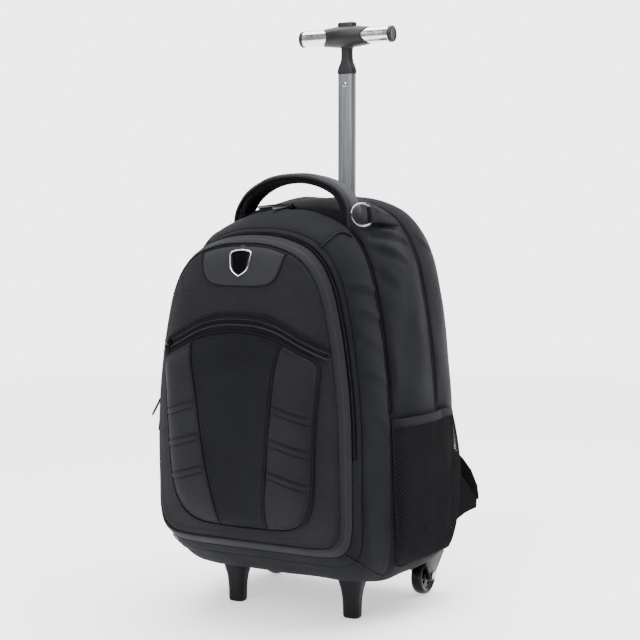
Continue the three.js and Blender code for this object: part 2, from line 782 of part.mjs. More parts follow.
// D ring on a webbing tab, on the bag's right shoulder
function addRing() {
  const shoulder = (y) => {
    const k = outline.findIndex((share) => share.up > 0.5 && share.out * halfWidthAt(y) < tabX);
    const [a, b] = [skinPoint(k - 1, y), skinPoint(k, y)];
    const slope = (b.z - a.z) / (b.x - a.x);
    return { height: a.z + slope * (tabX - a.x), slope };
  };
  const [near, far] = [shoulder(tabY), shoulder(tabY + tabLength)];
  const hole = ringWire / 2 + 2 * pieceGap;
  const eye = hole + tabThickness;
  const shape = new THREE.Shape();
  shape.absarc(0, 0, eye, Math.PI * 0.5, Math.PI * 1.5, false);
  shape.lineTo(tabLength, -eye);
  shape.lineTo(tabLength, -eye + tabThickness);
  shape.lineTo(eye, eye - tabThickness * 0.4);
  shape.closePath();
  const opening = new THREE.Path();
  opening.absarc(0, 0, hole, 0, 2 * Math.PI, true);
  shape.holes.push(opening);
  const tab = new THREE.ExtrudeGeometry(shape, { depth: tabWidth, bevelEnabled: false, curveSegments: 6 });
  const seat = new THREE.Object3D();
  seat.position.set(tabX, tabY, near.height + eye + 1.6);
  seat.rotation.set(Math.atan2(far.height - near.height, tabLength), -Math.atan(near.slope), 0, 'YXZ');
  seat.updateMatrix();

  const upright = new THREE.Matrix4().makeBasis(point(0, 1, 0), point(0, 0, 1), point(1, 0, 0));
  tab.translate(0, 0, -tabWidth / 2).applyMatrix4(upright);
  const inBag = solidOf(tab.applyMatrix4(seat.matrix)).subtract(bagForm(pieceGap));
  place('ring_tab', inBag, 'webbing');

  const wire = ringWire / 2;
  const bar = ringWidth / 2;
  const outlinePath = new THREE.CatmullRomCurve3([
    point(-bar, 0, 0), point(-bar * 0.5, 0, 0), point(bar * 0.5, 0, 0), point(bar, 0, 0),
    point(bar + 1, -ringDrop * 0.45, 0), point(bar * 0.62, -ringDrop * 0.86, 0), point(0, -ringDrop, 0),
    point(-bar * 0.62, -ringDrop * 0.86, 0), point(-bar - 1, -ringDrop * 0.45, 0),
  ], true, 'centripetal');
  const rings = Array.from({ length: 18 }, (_, k) => {
    const t = k / 18;
    const here = outlinePath.getPointAt(t);
    const along = outlinePath.getTangentAt(t);
    const side = point(along.y, -along.x, 0);
    return Array.from({ length: 5 }, (_unused, j) => {
      const a = 2 * Math.PI * j / 5;
      return here.clone().addScaledVector(side, wire * Math.cos(a)).add(point(0, 0, wire * Math.sin(a)));
    });
  });
  const hanging = new THREE.Matrix4().makeRotationX(ringTilt).premultiply(seat.matrix);
  const ring = geometryOf(solidFromRings(rings, { closed: true })).applyMatrix4(hanging);
  place('d_ring', ring, 'chrome');
}

// Zip pulls: a slider seated over the teeth and a long flat tab that hangs from it
const pullRows = [
  { name: 'top_left', zip: middleZipY, x: -19, face: [-0.1, -0.45, 1], hang: [-0.75, -0.8, 0] },
  { name: 'top_right', zip: middleZipY, x: -5, face: [-0.05, -0.45, 1], hang: [-0.3, -0.9, 0] },
  { name: 'side_upper', zip: frontZipY, up: 0.477, face: [-1, -0.1, 0.45], hang: [0, -0.3, -1] },
  { name: 'side_lower', zip: frontZipY, up: 0.447, face: [-1, -0.1, 0.1], hang: [0, -0.1, -1] },
];

function pullSolid() {
  const slider = new THREE.BoxGeometry(sliderWidth, sliderLength, sliderHeight);
  slider.translate(0, 0, sliderHeight / 2);
  const w = pullWidth / 2;
  const shape = new THREE.Shape([
    new THREE.Vector2(-w * 0.6, 0), new THREE.Vector2(w * 0.6, 0), new THREE.Vector2(w, 5),
    new THREE.Vector2(w, pullLength - 2), new THREE.Vector2(w * 0.6, pullLength),
    new THREE.Vector2(-w * 0.6, pullLength), new THREE.Vector2(-w, pullLength - 2),
    new THREE.Vector2(-w, 5),
  ]);
  const blade = new THREE.ExtrudeGeometry(shape, { depth: pullThickness, bevelEnabled: false });
  blade.translate(0, sliderLength / 2 - 1.5, sliderHeight - pullThickness);
  return { slider: solidOf(slider), blade: solidOf(blade) };
}

function addPulls() {
  const { slider, blade } = pullSolid();
  const clear = bagForm(pieceGap);
  const seatOn = (at, outward, hang) => {
    const down = hang.clone().addScaledVector(outward, -hang.dot(outward)).normalize();
    const side = point(0, 0, 0).crossVectors(down, outward);
    const frame = new THREE.Matrix4().makeBasis(side, down, outward).setPosition(at);
    return slider.add(blade).transform(frame.elements);
  };
  for (const row of pullRows) {
    const y = row.zip + zipSlit / 2;
    const height = bagClearance + row.up * bagHeight;
    const k = row.up
      ? rays - outline.findIndex((share) => share.up * (topAt(y) - baseAt(y)) + baseAt(y) > height)
      : halfRays;
    const outward = point(...row.face).normalize();
    const at = skinPoint(k, y, slitBehindPull);
    if (row.up) at.z = height;
    else at.x = row.x;
    const solid = seatOn(at, outward, point(...row.hang)).subtract(clear);
    place(`zip_pull_${row.name}`, solid, 'gunmetal');
  }
  const x = -organiserWidth / 2 + 4;
  const z = organiserBase + 0.93 * organiserHeight;
  const at = point(x, frontFaceY(x, z) - archZipHeight - 2 * pieceGap, z);
  const solid = seatOn(at, point(-0.2, -1, 0).normalize(), point(-0.1, 0, -1))
    .subtract(bagForm(archZipHeight + 2 * pieceGap)).subtract(organiserForm(-pieceGap));
  place('zip_pull_arch', solid, 'gunmetal');
}

// Padding and straps on the back
function addBack() {
  const half = padWidth / 2;
  const corners = [
    [half, padBase + 24], [half, padBase + padHeight - 70], [half * 0.72, padBase + padHeight],
    [-half * 0.72, padBase + padHeight], [-half, padBase + padHeight - 70], [-half, padBase + 24],
    [-half * 0.8, padBase], [half * 0.8, padBase],
  ];
  const behind = backY + backBulge;
  place('back_pad', patch(prism(corners, backY - 2, behind + 40), padThickness), 'mesh');

  const lie = behind + padThickness + strapThickness / 2 + 2;
  const across = (along) => point(0, 0, 0).crossVectors(along, point(0, 1, 0));
  const strap = new THREE.CatmullRomCurve3([
    point(50, backY + backBulge, bagClearance + 0.885 * bagHeight),
    point(58, lie - 3, bagClearance + 0.84 * bagHeight),
    point(73, lie + 12, bagClearance + 0.69 * bagHeight),
    point(88, lie + 10, bagClearance + 0.52 * bagHeight),
    point(98, lie + 1, bagClearance + 0.38 * bagHeight),
  ]);
  const padded = ribbon(
    strap, 9, (t) => strapWidth * (1 - 0.32 * t * t), () => strapThickness, across);
  const clear = bagForm(padThickness + 2 * pieceGap).intersect(prism(corners, backY - 2, behind + 40))
    .add(bagForm(pieceGap));

  const end = strap.getPointAt(1);
  const fall = strap.getTangentAt(1);
  const frameHeight = 22;
  const frameShape = new THREE.Shape([
    new THREE.Vector2(-18, 0), new THREE.Vector2(18, 0),
    new THREE.Vector2(18, frameHeight), new THREE.Vector2(-18, frameHeight),
  ]);
  for (const low of [3.5, 14]) {
    const slot = new THREE.Path([
      new THREE.Vector2(-14, low), new THREE.Vector2(-14, low + 3.6),
      new THREE.Vector2(14, low + 3.6), new THREE.Vector2(14, low),
    ]);
    frameShape.holes.push(slot);
  }
  const buckleGeometry = new THREE.ExtrudeGeometry(frameShape, { depth: 4, bevelEnabled: false });
  buckleGeometry.translate(0, pieceGap, -2);
  const side = across(fall).normalize();
  const out = point(0, 0, 0).crossVectors(side, fall);
  const seat = new THREE.Matrix4().makeBasis(side, fall.clone(), out).setPosition(end);
  const buckle = solidOf(buckleGeometry.applyMatrix4(seat));

  const tip = point(bagWidth / 2 + 7, backY + 18, bagClearance + 73);
  const start = end.clone().addScaledVector(fall, frameHeight + 2 * pieceGap);
  const webbingPath = new THREE.CatmullRomCurve3([
    start, start.clone().addScaledVector(fall, 9), start.clone().lerp(tip, 0.4).add(point(6, 3, 0)),
    start.clone().lerp(tip, 0.75).add(point(8, 1, 4)), tip,
  ]);
  const webbing = ribbon(
    webbingPath, 6, () => webbingWidth, () => webbingThickness, across);

  const root = (z) => point(sideX(backY - 14, z) - 4, backY - 12, z);
  const reach = point(tip.x - 12, tip.y - 1, tip.z);
  const loop = [
    root(tip.z - 24), root(tip.z + 26),
    reach.clone().add(point(0, 0, -pieceGap)), reach.clone().add(point(-3, 1, -15)),
  ];
  const thick = point(0, 0, 0).crossVectors(
    loop[1].clone().sub(loop[0]), loop[2].clone().sub(loop[0])).normalize();
  const wing = solidFromRings([-1, 1].map((way) => loop.map(
    (p) => p.clone().addScaledVector(thick, way * wingThickness / 2))));

  for (const [name, turn] of bothSides) {
    place(`shoulder_strap_${name}`, turn(padded).subtract(clear), 'cloth');
    place(`strap_buckle_${name}`, turn(buckle), 'plastic');
    place(`strap_webbing_${name}`, turn(webbing), 'webbing');
    place(`strap_wing_${name}`, turn(wing).subtract(bagForm(pieceGap)), 'cloth');
  }
}

// Mast: a fixed sleeve inside the bag and a sliding tube with the grip on its top
function roundedOutline(width, depth, corner) {
  const x = width / 2 - corner;
  const y = depth / 2 - corner;
  const shape = new THREE.Shape();
  shape.absarc(x, y, corner, 0, Math.PI / 2, false);
  shape.absarc(-x, y, corner, Math.PI / 2, Math.PI, false);
  shape.absarc(-x, -y, corner, Math.PI, 1.5 * Math.PI, false);
  shape.absarc(x, -y, corner, 1.5 * Math.PI, 2 * Math.PI, false);
  return shape;
}

function tubeSolid(width, depth, corner, wall, low, high) {
  const shape = roundedOutline(width, depth, corner);
  if (wall) shape.holes.push(roundedOutline(width - 2 * wall, depth - 2 * wall, corner - wall));
  const settings = { depth: high - low, bevelEnabled: false, curveSegments: 2 };
  return solidOf(new THREE.ExtrudeGeometry(shape, settings).translate(0, mastY, low));
}

const innerGap = mastWall + sleeveWall;
const sleeveGrow = 2 * (sleeveWall + sleeveClearance);

function addMast(rear) {
  const sleeveLow = baseAt(mastY + mastDepth) + clothWall + pieceGap;
  place('mast_sleeve', tubeSolid(
    mastWidth + sleeveGrow, mastDepth + sleeveGrow, mastCorner + innerGap - mastWall + sleeveClearance,
    sleeveWall, sleeveLow, sleeveTopHeight), 'greyPlastic');

  const top = topAt(mastY);
  const neckGrow = 2 * (sleeveClearance + collarFlange / 2);
  const neck = tubeSolid(
    mastWidth + neckGrow, mastDepth + neckGrow, mastCorner + sleeveClearance + collarFlange / 2,
    collarFlange / 2, sleeveTopHeight + pieceGap, top + collarHeight);
  const flange = tubeSolid(
    mastWidth + neckGrow + 2 * collarFlange, mastDepth + neckGrow + 2 * collarFlange,
    mastCorner + sleeveClearance + 1.5 * collarFlange, 1.5 * collarFlange, top + pieceGap, top + collarHeight);
  const holeGrow = neckGrow + 2 * pieceGap;
  const hole = tubeSolid(
    mastWidth + holeGrow, mastDepth + holeGrow, mastCorner + holeGrow / 2, 0, top - 40, top + 40);
  place('rear_compartment', rear.subtract(hole), 'cloth');
  const seat = bagForm(pieceGap).subtract(hole);
  place('mast_collar', neck.add(flange.translate([0, 0, 2])).subtract(seat), 'plastic');

  place('mast_tube', tubeSolid(
    mastWidth, mastDepth, mastCorner, mastWall, mastTopHeight - mastLength, mastTopHeight), 'aluminium');
  const screw = new THREE.CylinderGeometry(mastScrewRadius, mastScrewRadius, 1, 12);
  const front = mastY - mastDepth / 2 - pieceGap;
  place('mast_screw', screw.translate(0, front - 0.5, 0)
    .translate(0, 0, mastTopHeight - mastScrewDrop), 'chrome');
}

const neckRows = [
  { up: 0.00, width: 1.73, depth: 1.10 },
  { up: 0.14, width: 1.66, depth: 1.06 },
  { up: 0.34, width: 1.12, depth: 0.94 },
  { up: 0.52, width: 1.00, depth: 0.90 },
  { up: 0.72, width: 1.10, depth: 0.96 },
  { up: 0.92, width: 1.80, depth: 1.10 },
];

const turnToX = new THREE.Matrix4().makeRotationZ(-Math.PI / 2);

function latheX(profile, segments) {
  const geometry = new THREE.LatheGeometry(
    profile.map(([radius, x]) => new THREE.Vector2(radius, x)), segments);
  return geometry.applyMatrix4(turnToX).translate(0, mastY, gripHeight);
}

function addGrip() {
  const hubEnd = gripHubHalf;
  const spigot = gripTubeRadius - gripTubeWall - pieceGap;
  const capX = gripHalfLength - gripCapLength;
  const barrel = solidOf(latheX([
    [0, -capX + pieceGap], [spigot, -capX + pieceGap], [spigot, -hubEnd],
    [gripHubRadius, -hubEnd], [gripHubRadius + 0.4, -hubEnd + 5],
    [gripHubRadius + gripHubBulge, -0.35 * hubEnd], [gripHubRadius + gripHubBulge, 0.35 * hubEnd],
    [gripHubRadius + 0.4, hubEnd - 5], [gripHubRadius, hubEnd],
    [spigot, hubEnd], [spigot, capX - pieceGap], [0, capX - pieceGap],
  ], 14));
  const neckLow = mastTopHeight + pieceGap;
  const neckHeight = gripHeight - neckLow;
  const neck = solidFromRings(neckRows.map((row) => {
    const w = row.width * gripNeckWidth;
    const d = row.depth * mastDepth;
    return roundedOutline(w, d, 0.42 * d).getSpacedPoints(12).slice(0, -1)
      .map((p) => point(p.x, p.y + mastY, neckLow + row.up * neckHeight));
  }));
  const slotGrow = 2 * pieceGap;
  const slot = (grow, low, high) => tubeSolid(
    buttonLength + grow, buttonWidth + grow, (buttonWidth + grow) / 2 - 0.6, 0, low, high);
  const hubTop = gripHeight + gripHubRadius + gripHubBulge;
  const slotFloor = hubTop - buttonTravel - 4;
  place('grip_hub', barrel.add(neck).subtract(slot(slotGrow, slotFloor, hubTop + 20)), 'plastic');
  place('release_button', slot(0, slotFloor + buttonTravel + pieceGap, hubTop + buttonProud), 'plastic');

  for (const [name, side] of [['right', 1], ['left', -1]]) {
    const low = hubEnd + pieceGap;
    const tube = latheX([
      [gripTubeRadius - gripTubeWall, side * low], [gripTubeRadius, side * low],
      [gripTubeRadius, side * capX], [gripTubeRadius - gripTubeWall, side * capX],
      [gripTubeRadius - gripTubeWall, side * low],
    ], 14);
    place(`grip_tube_${name}`, solidFacing(tube), 'polished');
    const start = capX + pieceGap;
    const cap = latheX([
      [0, side * start], [gripTubeRadius, side * start], [gripTubeRadius, side * (gripHalfLength - 1.5)],
      [gripTubeRadius - 1.5, side * gripHalfLength], [0, side * gripHalfLength],
    ], 14);
    place(`grip_cap_${name}`, solidFacing(cap), 'plastic');
  }
}

// A lathe turned the other way round faces inward, so its triangles are flipped
function solidFacing(geometry) {
  const merged = geometry.clone();
  for (const name of Object.keys(merged.attributes)) {
    if (name !== 'position') merged.deleteAttribute(name);
  }
  const clean = mergeVertices(merged, 1e-4);
  const { array } = clean.attributes.position;
  const positions = Array.from({ length: array.length / 3 }, (_, k) => point(
    array[3 * k], array[3 * k + 1], array[3 * k + 2]));
  const index = clean.index.array;
  const faces = [];
  for (let k = 0; k < index.length; k += 3) {
    const face = [index[k], index[k + 1], index[k + 2]];
    if (new Set(face).size === 3) faces.push(face);
  }
  return solidFromFaces(positions, faces);
}

// Front feet, flared towards the bag; shares of the sole's size and of the ground clearance
const footRows = [
  { up: 0.00, width: 1.00, depth: 1.00 },
  { up: 0.06, width: 1.06, depth: 1.08 },
  { up: 0.45, width: 1.12, depth: 1.12 },
  { up: 0.75, width: 1.30, depth: 1.30 },
  { up: 0.98, width: 1.58, depth: 1.56 },
  { up: 1.20, width: 1.62, depth: 1.60 },
];

function addFeet() {
  const foot = solidFromRings(footRows.map((row) => {
    const w = row.width * footSoleWidth;
    const d = row.depth * footSoleDepth;
    return roundedOutline(w, d, 0.3 * d).getSpacedPoints(12).slice(0, -1)
      .map((p) => point(p.x + footSpacing / 2, p.y + footY, row.up * bagClearance));
  }));
  for (const [name, turn] of bothSides) {
    place(`foot_${name}`, turn(foot).subtract(bagForm(pieceGap)), 'plastic');
  }
}

// Rear wheels between fork plates, on axles with round heads
function discX(radius, fromX, toX, segments = 20, hole = 0) {
  const shape = new THREE.Shape().absarc(0, 0, radius, 0, 2 * Math.PI, false);
  if (hole) shape.holes.push(new THREE.Path().absarc(0, 0, hole, 0, 2 * Math.PI, true));
  const geometry = new THREE.ExtrudeGeometry(
    shape, { depth: toX - fromX, bevelEnabled: false, curveSegments: segments / 2 });
  const stand = new THREE.Matrix4().makeBasis(point(0, 1, 0), point(0, 0, 1), point(1, 0, 0));
  return solidOf(geometry.applyMatrix4(stand).translate(fromX, 0, wheelRadius));
}

function forkPlateSolid(fromX) {
  const top = bagClearance + 14;
  const shape = new THREE.Shape();
  shape.moveTo(-0.36 * forkTopLength, top);
  shape.lineTo(-0.36 * forkTopLength, bagClearance + 1);
  shape.lineTo(-forkFoot, wheelRadius);
  shape.absarc(0, wheelRadius, forkFoot, Math.PI, 2 * Math.PI, false);
  shape.lineTo(0.64 * forkTopLength, bagClearance + 4);
  shape.lineTo(0.64 * forkTopLength, top);
  const geometry = new THREE.ExtrudeGeometry(shape, { depth: forkPlate, bevelEnabled: false, curveSegments: 6 });
  const stand = new THREE.Matrix4().makeBasis(point(0, 1, 0), point(0, 0, 1), point(1, 0, 0));
  return solidOf(geometry.applyMatrix4(stand).translate(fromX, 0, 0));
}

function addWheels() {
  const middle = wheelSpacing / 2;
  const inner = middle - wheelWidth / 2 - forkGap - forkPlate;
  const outer = middle + wheelWidth / 2 + forkGap;
  const crownLow = 2 * wheelRadius + forkGap;
  const crown = box(
    outer - inner + forkPlate, forkTopLength, 18, (inner + outer + forkPlate) / 2,
    0.14 * forkTopLength, crownLow + 9);
  const bore = discX(axleRadius + pieceGap, inner - 5, outer + forkPlate + 5, 10);
  const fork = forkPlateSolid(inner).add(forkPlateSolid(outer)).add(crown)
    .subtract(bore);
  const headIn = discX(axleHeadRadius, inner - pieceGap - axleHeadLength, inner - pieceGap, 10);
  const headOut = discX(
    axleHeadRadius, outer + forkPlate + pieceGap, outer + forkPlate + pieceGap + axleHeadLength, 10);
  const pin = discX(axleRadius, inner - pieceGap - 1, outer + forkPlate + pieceGap + 1, 10);
  const axle = pin.add(headIn).add(headOut);
  const half = wheelWidth / 2;
  const hubRadius = wheelRadius - tyreThickness;
  const boss = discX(axleRadius + 3, inner + forkPlate + pieceGap, outer - pieceGap, 10);
  const hub = discX(hubRadius - pieceGap, middle - half + 2, middle + half - 2, 20).add(boss)
    .subtract(discX(axleRadius + pieceGap, inner, outer + forkPlate, 10));
  const tread = solidFacing(new THREE.LatheGeometry([
    new THREE.Vector2(hubRadius, middle - half), new THREE.Vector2(wheelRadius - 2, middle - half),
    new THREE.Vector2(wheelRadius, middle - half + 3), new THREE.Vector2(wheelRadius, middle + half - 3),
    new THREE.Vector2(wheelRadius - 2, middle + half), new THREE.Vector2(hubRadius, middle + half),
    new THREE.Vector2(hubRadius, middle - half),
  ], 20).applyMatrix4(turnToX).translate(0, 0, wheelRadius));
  for (const [name, turn] of bothSides) {
    place(`wheel_bracket_${name}`, turn(fork).subtract(bagForm(pieceGap)), 'greyPlastic');
    place(`axle_${name}`, turn(axle), 'chrome');
    place(`wheel_hub_${name}`, turn(hub), 'plastic');
    place(`tyre_${name}`, turn(tread), 'rubber');
  }
}

const rear = addCompartments();
addZips();
addOrganiser();
addArchZip();
addBadge();
addSidePockets();
addCarryHandle();
addRing();
addPulls();
addBack();
addMast(rear);
addGrip();
addFeet();
addWheels();

const middleOfAll = new THREE.Box3().setFromObject(backpack).getCenter(point(0, 0, 0));
backpack.position.set(-middleOfAll.x, -middleOfAll.y, 0);

export default backpack;
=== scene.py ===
"""Wheeled backpack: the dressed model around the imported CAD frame."""
import math

import bmesh
import bpy
import numpy as np
from mathutils import Matrix, Vector


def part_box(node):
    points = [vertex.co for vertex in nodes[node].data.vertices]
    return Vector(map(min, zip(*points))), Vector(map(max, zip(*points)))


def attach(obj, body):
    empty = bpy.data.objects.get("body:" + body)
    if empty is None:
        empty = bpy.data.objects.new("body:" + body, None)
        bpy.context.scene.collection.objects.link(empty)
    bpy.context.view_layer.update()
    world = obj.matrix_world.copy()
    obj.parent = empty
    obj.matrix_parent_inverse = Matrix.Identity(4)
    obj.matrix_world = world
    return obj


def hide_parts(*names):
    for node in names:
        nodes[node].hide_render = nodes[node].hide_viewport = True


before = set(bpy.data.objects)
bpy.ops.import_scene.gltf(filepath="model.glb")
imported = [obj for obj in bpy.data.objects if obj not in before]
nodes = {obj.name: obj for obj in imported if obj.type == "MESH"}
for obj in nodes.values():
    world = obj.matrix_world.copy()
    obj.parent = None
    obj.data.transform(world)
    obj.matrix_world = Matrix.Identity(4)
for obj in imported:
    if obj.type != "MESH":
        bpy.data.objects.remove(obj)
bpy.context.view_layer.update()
bpy.ops.object.select_all(action="DESELECT")

# Sizes of the bag in millimetres, with Y measured from the wheel axle as in the part's source
MM = 0.001
BAG_WIDTH, BAG_HEIGHT, BAG_DEPTH, CLEARANCE = 294, 465, 273, 45
BACK_Y, FRONT_Y = 30, -243
FRONT_ZIP_Y, GUSSET_END_Y, MIDDLE_ZIP_Y, REAR_ZIP_Y = -233, -215, -157, -45
ZIP_SLIT = 8
FRONT_BULGE, BACK_BULGE = 26, 6
FRONT_ZIP_END, SIDE_ZIP_END = 210, 252
axle_low, axle_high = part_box("axle_right")
AXLE_Y = (axle_low[1] + axle_high[1]) / 2 * 1000
SIDES = (("right", 1), ("left", -1))
STITCH, STITCH_PITCH = (2.1, 0.45, 0.35), 3.4

DEPTH_ROWS = np.array([
    # back, half, top, base
    (0.00, 0.864, 0.892, 0.116), (0.05, 0.884, 0.904, 0.094), (0.10, 0.902, 0.916, 0.072),
    (0.21, 0.930, 0.944, 0.030), (0.32, 0.952, 0.964, 0.006), (0.53, 0.980, 0.983, 0.000),
    (0.75, 1.000, 0.996, 0.000), (0.88, 0.984, 1.000, 0.006), (1.00, 0.925, 0.985, 0.026),
])
OUTLINE_ROWS = np.array([
    # out, up
    (0.00, 0.000), (0.40, 0.000), (0.72, 0.002), (0.88, 0.012), (0.965, 0.038), (1.00, 0.085),
    (1.00, 0.200), (0.995, 0.380), (0.975, 0.500), (0.935, 0.620), (0.875, 0.740), (0.800, 0.840),
    (0.700, 0.908), (0.560, 0.956), (0.360, 0.985), (0.180, 0.997), (0.00, 1.000),
])


def unit(vectors):
    """Vectors brought to length one."""
    return vectors / np.linalg.norm(vectors, axis=-1, keepdims=True)


def reach_along(path):
    """Length of a path up to each of its points."""
    return np.concatenate([[0], np.cumsum(np.linalg.norm(np.diff(path, axis=0), axis=1))])


def read_along(values, reach, at):
    """Values of a path's points, read at given lengths along it."""
    return np.stack([np.interp(at, reach, values[:, k]) for k in range(values.shape[1])], axis=1)


def read_rows(rows, place, column):
    """Piecewise cubic through a table, with the slopes of its neighbours."""
    place = np.asarray(place, float)
    key, value = rows[:, 0], rows[:, column]
    last = len(rows) - 1
    k = np.clip(np.searchsorted(key, place, side="left") - 1, 0, last - 1)
    low, high = np.maximum(np.arange(last + 1) - 1, 0), np.minimum(np.arange(last + 1) + 1, last)
    slope = (value[high] - value[low]) / (key[high] - key[low])
    step = key[k + 1] - key[k]
    t = np.clip((place - key[k]) / step, 0, 1)
    ease = t * t * (3 - 2 * t)
    bend = (t - 2 * t * t + t ** 3) * slope[k] + (t ** 3 - t * t) * slope[k + 1]
    return value[k] + (value[k + 1] - value[k]) * ease + bend * step


def spline(points, count, closed=False):
    """Evenly spaced points on a centripetal Catmull-Rom curve."""
    p = np.asarray(points, float)
    if closed:
        p = np.vstack([p[-1], p, p[0], p[1]])
    else:
        p = np.vstack([2 * p[0] - p[1], p, 2 * p[-1] - p[-2]])
    dense = []
    for a, b, c, d in zip(p[:-3], p[1:-2], p[2:-1], p[3:]):
        knots = np.cumsum([0.0] + [max(np.linalg.norm(v), 1e-6) ** 0.5 for v in (b - a, c - b, d - c)])
        t0, t1, t2, t3 = knots
        t = np.linspace(t1, t2, 24, endpoint=False)[:, None]
        a1 = (t1 - t) / (t1 - t0) * a + (t - t0) / (t1 - t0) * b
        a2 = (t2 - t) / (t2 - t1) * b + (t - t1) / (t2 - t1) * c
        a3 = (t3 - t) / (t3 - t2) * c + (t - t2) / (t3 - t2) * d
        b1 = (t2 - t) / (t2 - t0) * a1 + (t - t0) / (t2 - t0) * a2
        b2 = (t3 - t) / (t3 - t1) * a2 + (t - t1) / (t3 - t1) * a3
        dense.append((t2 - t) / (t2 - t1) * b1 + (t - t1) / (t2 - t1) * b2)
    dense = np.vstack(dense + [p[-2][None]])
    reach = reach_along(dense)
    return read_along(dense, reach, np.linspace(0, reach[-1], count))


OUTLINE = spline(OUTLINE_ROWS * (BAG_WIDTH / 2, BAG_HEIGHT), 801) / (BAG_WIDTH / 2, BAG_HEIGHT)
SHARE = np.linspace(0, 1, 801)


def depth_share(y, column):
    return read_rows(DEPTH_ROWS, (np.asarray(y, float) - FRONT_Y) / BAG_DEPTH, column)


def half_at(y):
    return depth_share(y, 1) * BAG_WIDTH / 2


def top_at(y):
    return CLEARANCE + BAG_HEIGHT * depth_share(y, 2)


def base_at(y):
    return CLEARANCE + BAG_HEIGHT * depth_share(y, 3)


def flat_point(r, y):
    """The bag's form without its swell; r runs 0 to 2 from the base up the right side and down the left."""
    r, y = np.broadcast_arrays(np.mod(np.asarray(r, float), 2), np.asarray(y, float))
    share = np.where(r <= 1, r, 2 - r)
    out, up = np.interp(share, SHARE, OUTLINE[:, 0]), np.interp(share, SHARE, OUTLINE[:, 1])
    base = base_at(y)
    side = np.where(r <= 1, 1, -1)
    return np.stack([side * out * half_at(y), y, base + up * (top_at(y) - base)], axis=-1)


SWELL_ROWS = [
    # from, to, swell
    (FRONT_Y, GUSSET_END_Y, 0.6), (GUSSET_END_Y, MIDDLE_ZIP_Y, 3.5),
    (MIDDLE_ZIP_Y + ZIP_SLIT, REAR_ZIP_Y, 5.0), (REAR_ZIP_Y + ZIP_SLIT, BACK_Y, 1.5),
]


def swell_at(flat, y):
    total = np.zeros(np.broadcast(flat[..., 0], y).shape)
    for start, end, swell in SWELL_ROWS:
        inside = (y > start) & (y < end)
        arc = np.sqrt(np.clip(np.sin(np.pi * np.clip((y - start) / (end - start), 0, 1)), 0, 1))
        sideways = np.minimum(1, (flat[..., 2] - base_at(y)) / (0.15 * BAG_HEIGHT))
        total = np.where(inside, swell * sideways * arc, total)
    return total


def skin_normal(r, y):
    along = flat_point(r + 0.03, y) - flat_point(r - 0.03, y)
    return unit(np.stack([along[..., 2], np.zeros_like(along[..., 0]), -along[..., 0]], axis=-1))


def skin(r, y, outward=0.0):
    """A point of the bag's swollen skin, moved outward by a distance."""
    r, y = np.broadcast_arrays(np.asarray(r, float), np.asarray(y, float))
    flat = flat_point(r, y)
    return flat + skin_normal(r, y) * (swell_at(flat, y) + outward)[..., None]


FACE_MIDDLE = float(top_at(FRONT_Y) + base_at(FRONT_Y)) / 2
BACK_MIDDLE = float(top_at(BACK_Y) + base_at(BACK_Y)) / 2
FACE_EDGE = skin(np.linspace(0, 2, 721)[:-1], FRONT_Y)
EDGE_ANGLE = np.unwrap(np.arctan2(FACE_EDGE[:, 2] - FACE_MIDDLE, FACE_EDGE[:, 0]))
EDGE_REACH = np.hypot(FACE_EDGE[:, 0], FACE_EDGE[:, 2] - FACE_MIDDLE)


def face_rise(share, z):
    up = np.clip((z - float(base_at(FRONT_Y))) / (0.33 * BAG_HEIGHT), 0, 1)
    dome = np.sqrt(np.clip(1 - share ** 6, 0, 1))
    return FRONT_BULGE * dome * (0.4 + 0.6 * up * (2 - up))


def polar_share(x, z, middle, angle, reach):
    turn = np.arctan2(z - middle, x)
    low = angle[0]
    turn = low + np.mod(turn - low, 2 * np.pi)
    around = np.concatenate([angle, [angle[0] + 2 * np.pi]])
    far = np.concatenate([reach, [reach[0]]])
    return np.hypot(x, z - middle) / np.interp(turn, around, far)


def face_y(x, z):
    """Depth of the domed front face at a place on it."""
    share = np.minimum(polar_share(x, z, FACE_MIDDLE, EDGE_ANGLE, EDGE_REACH), 1)
    return FRONT_Y - face_rise(share, z)


# Turning named shapes into pieces

def to_frame(points):
    """Millimetres from the axle to metres in the row frame."""
    return (np.asarray(points, float) + (0, AXLE_Y, 0)) * MM


def to_bag(points):
    """Metres in the row frame to millimetres from the axle."""
    return np.asarray(points, float) / MM - (0, AXLE_Y, 0)


def box_of(node):
    """The low and the high corner of a frame node, in millimetres from the axle."""
    return [to_bag(corner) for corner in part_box(node)]


def rename(name):
    o = bpy.context.object
    o.name = o.data.name = name
    return o


def lay(name, points, wrap=False, keep=None):
    """A grid whose corners are laid on a table of points, rows by columns, less those not kept."""
    points = np.asarray(points, float)
    rows, columns = points.shape[:2]
    bpy.ops.mesh.primitive_grid_add(x_subdivisions=columns - 1, y_subdivisions=rows - 1, size=2)
    o = rename(name)
    count = rows * columns
    start = np.empty(count * 3)
    o.data.vertices.foreach_get("co", start)
    start = start.reshape(-1, 3)
    column = np.rint((start[:, 0] + 1) / 2 * (columns - 1)).astype(int)
    row = np.rint((start[:, 1] + 1) / 2 * (rows - 1)).astype(int)
    o.data.vertices.foreach_set("co", to_frame(points[row, column]).ravel())
    o.data.update()
    if keep is not None:
        mesh = bmesh.new()
        mesh.from_mesh(o.data)
        mesh.verts.ensure_lookup_table()
        spare = [mesh.verts[k] for k in np.flatnonzero(~keep[row, column])]
        bmesh.ops.delete(mesh, geom=spare, context="VERTS")
        mesh.to_mesh(o.data)
        mesh.free()
    if wrap:
        weld(o)
    return o


def pick(o):
    """A piece made the active and only selected one."""
    bpy.ops.object.select_all(action="DESELECT")
    bpy.context.view_layer.objects.active = o
    o.select_set(True)


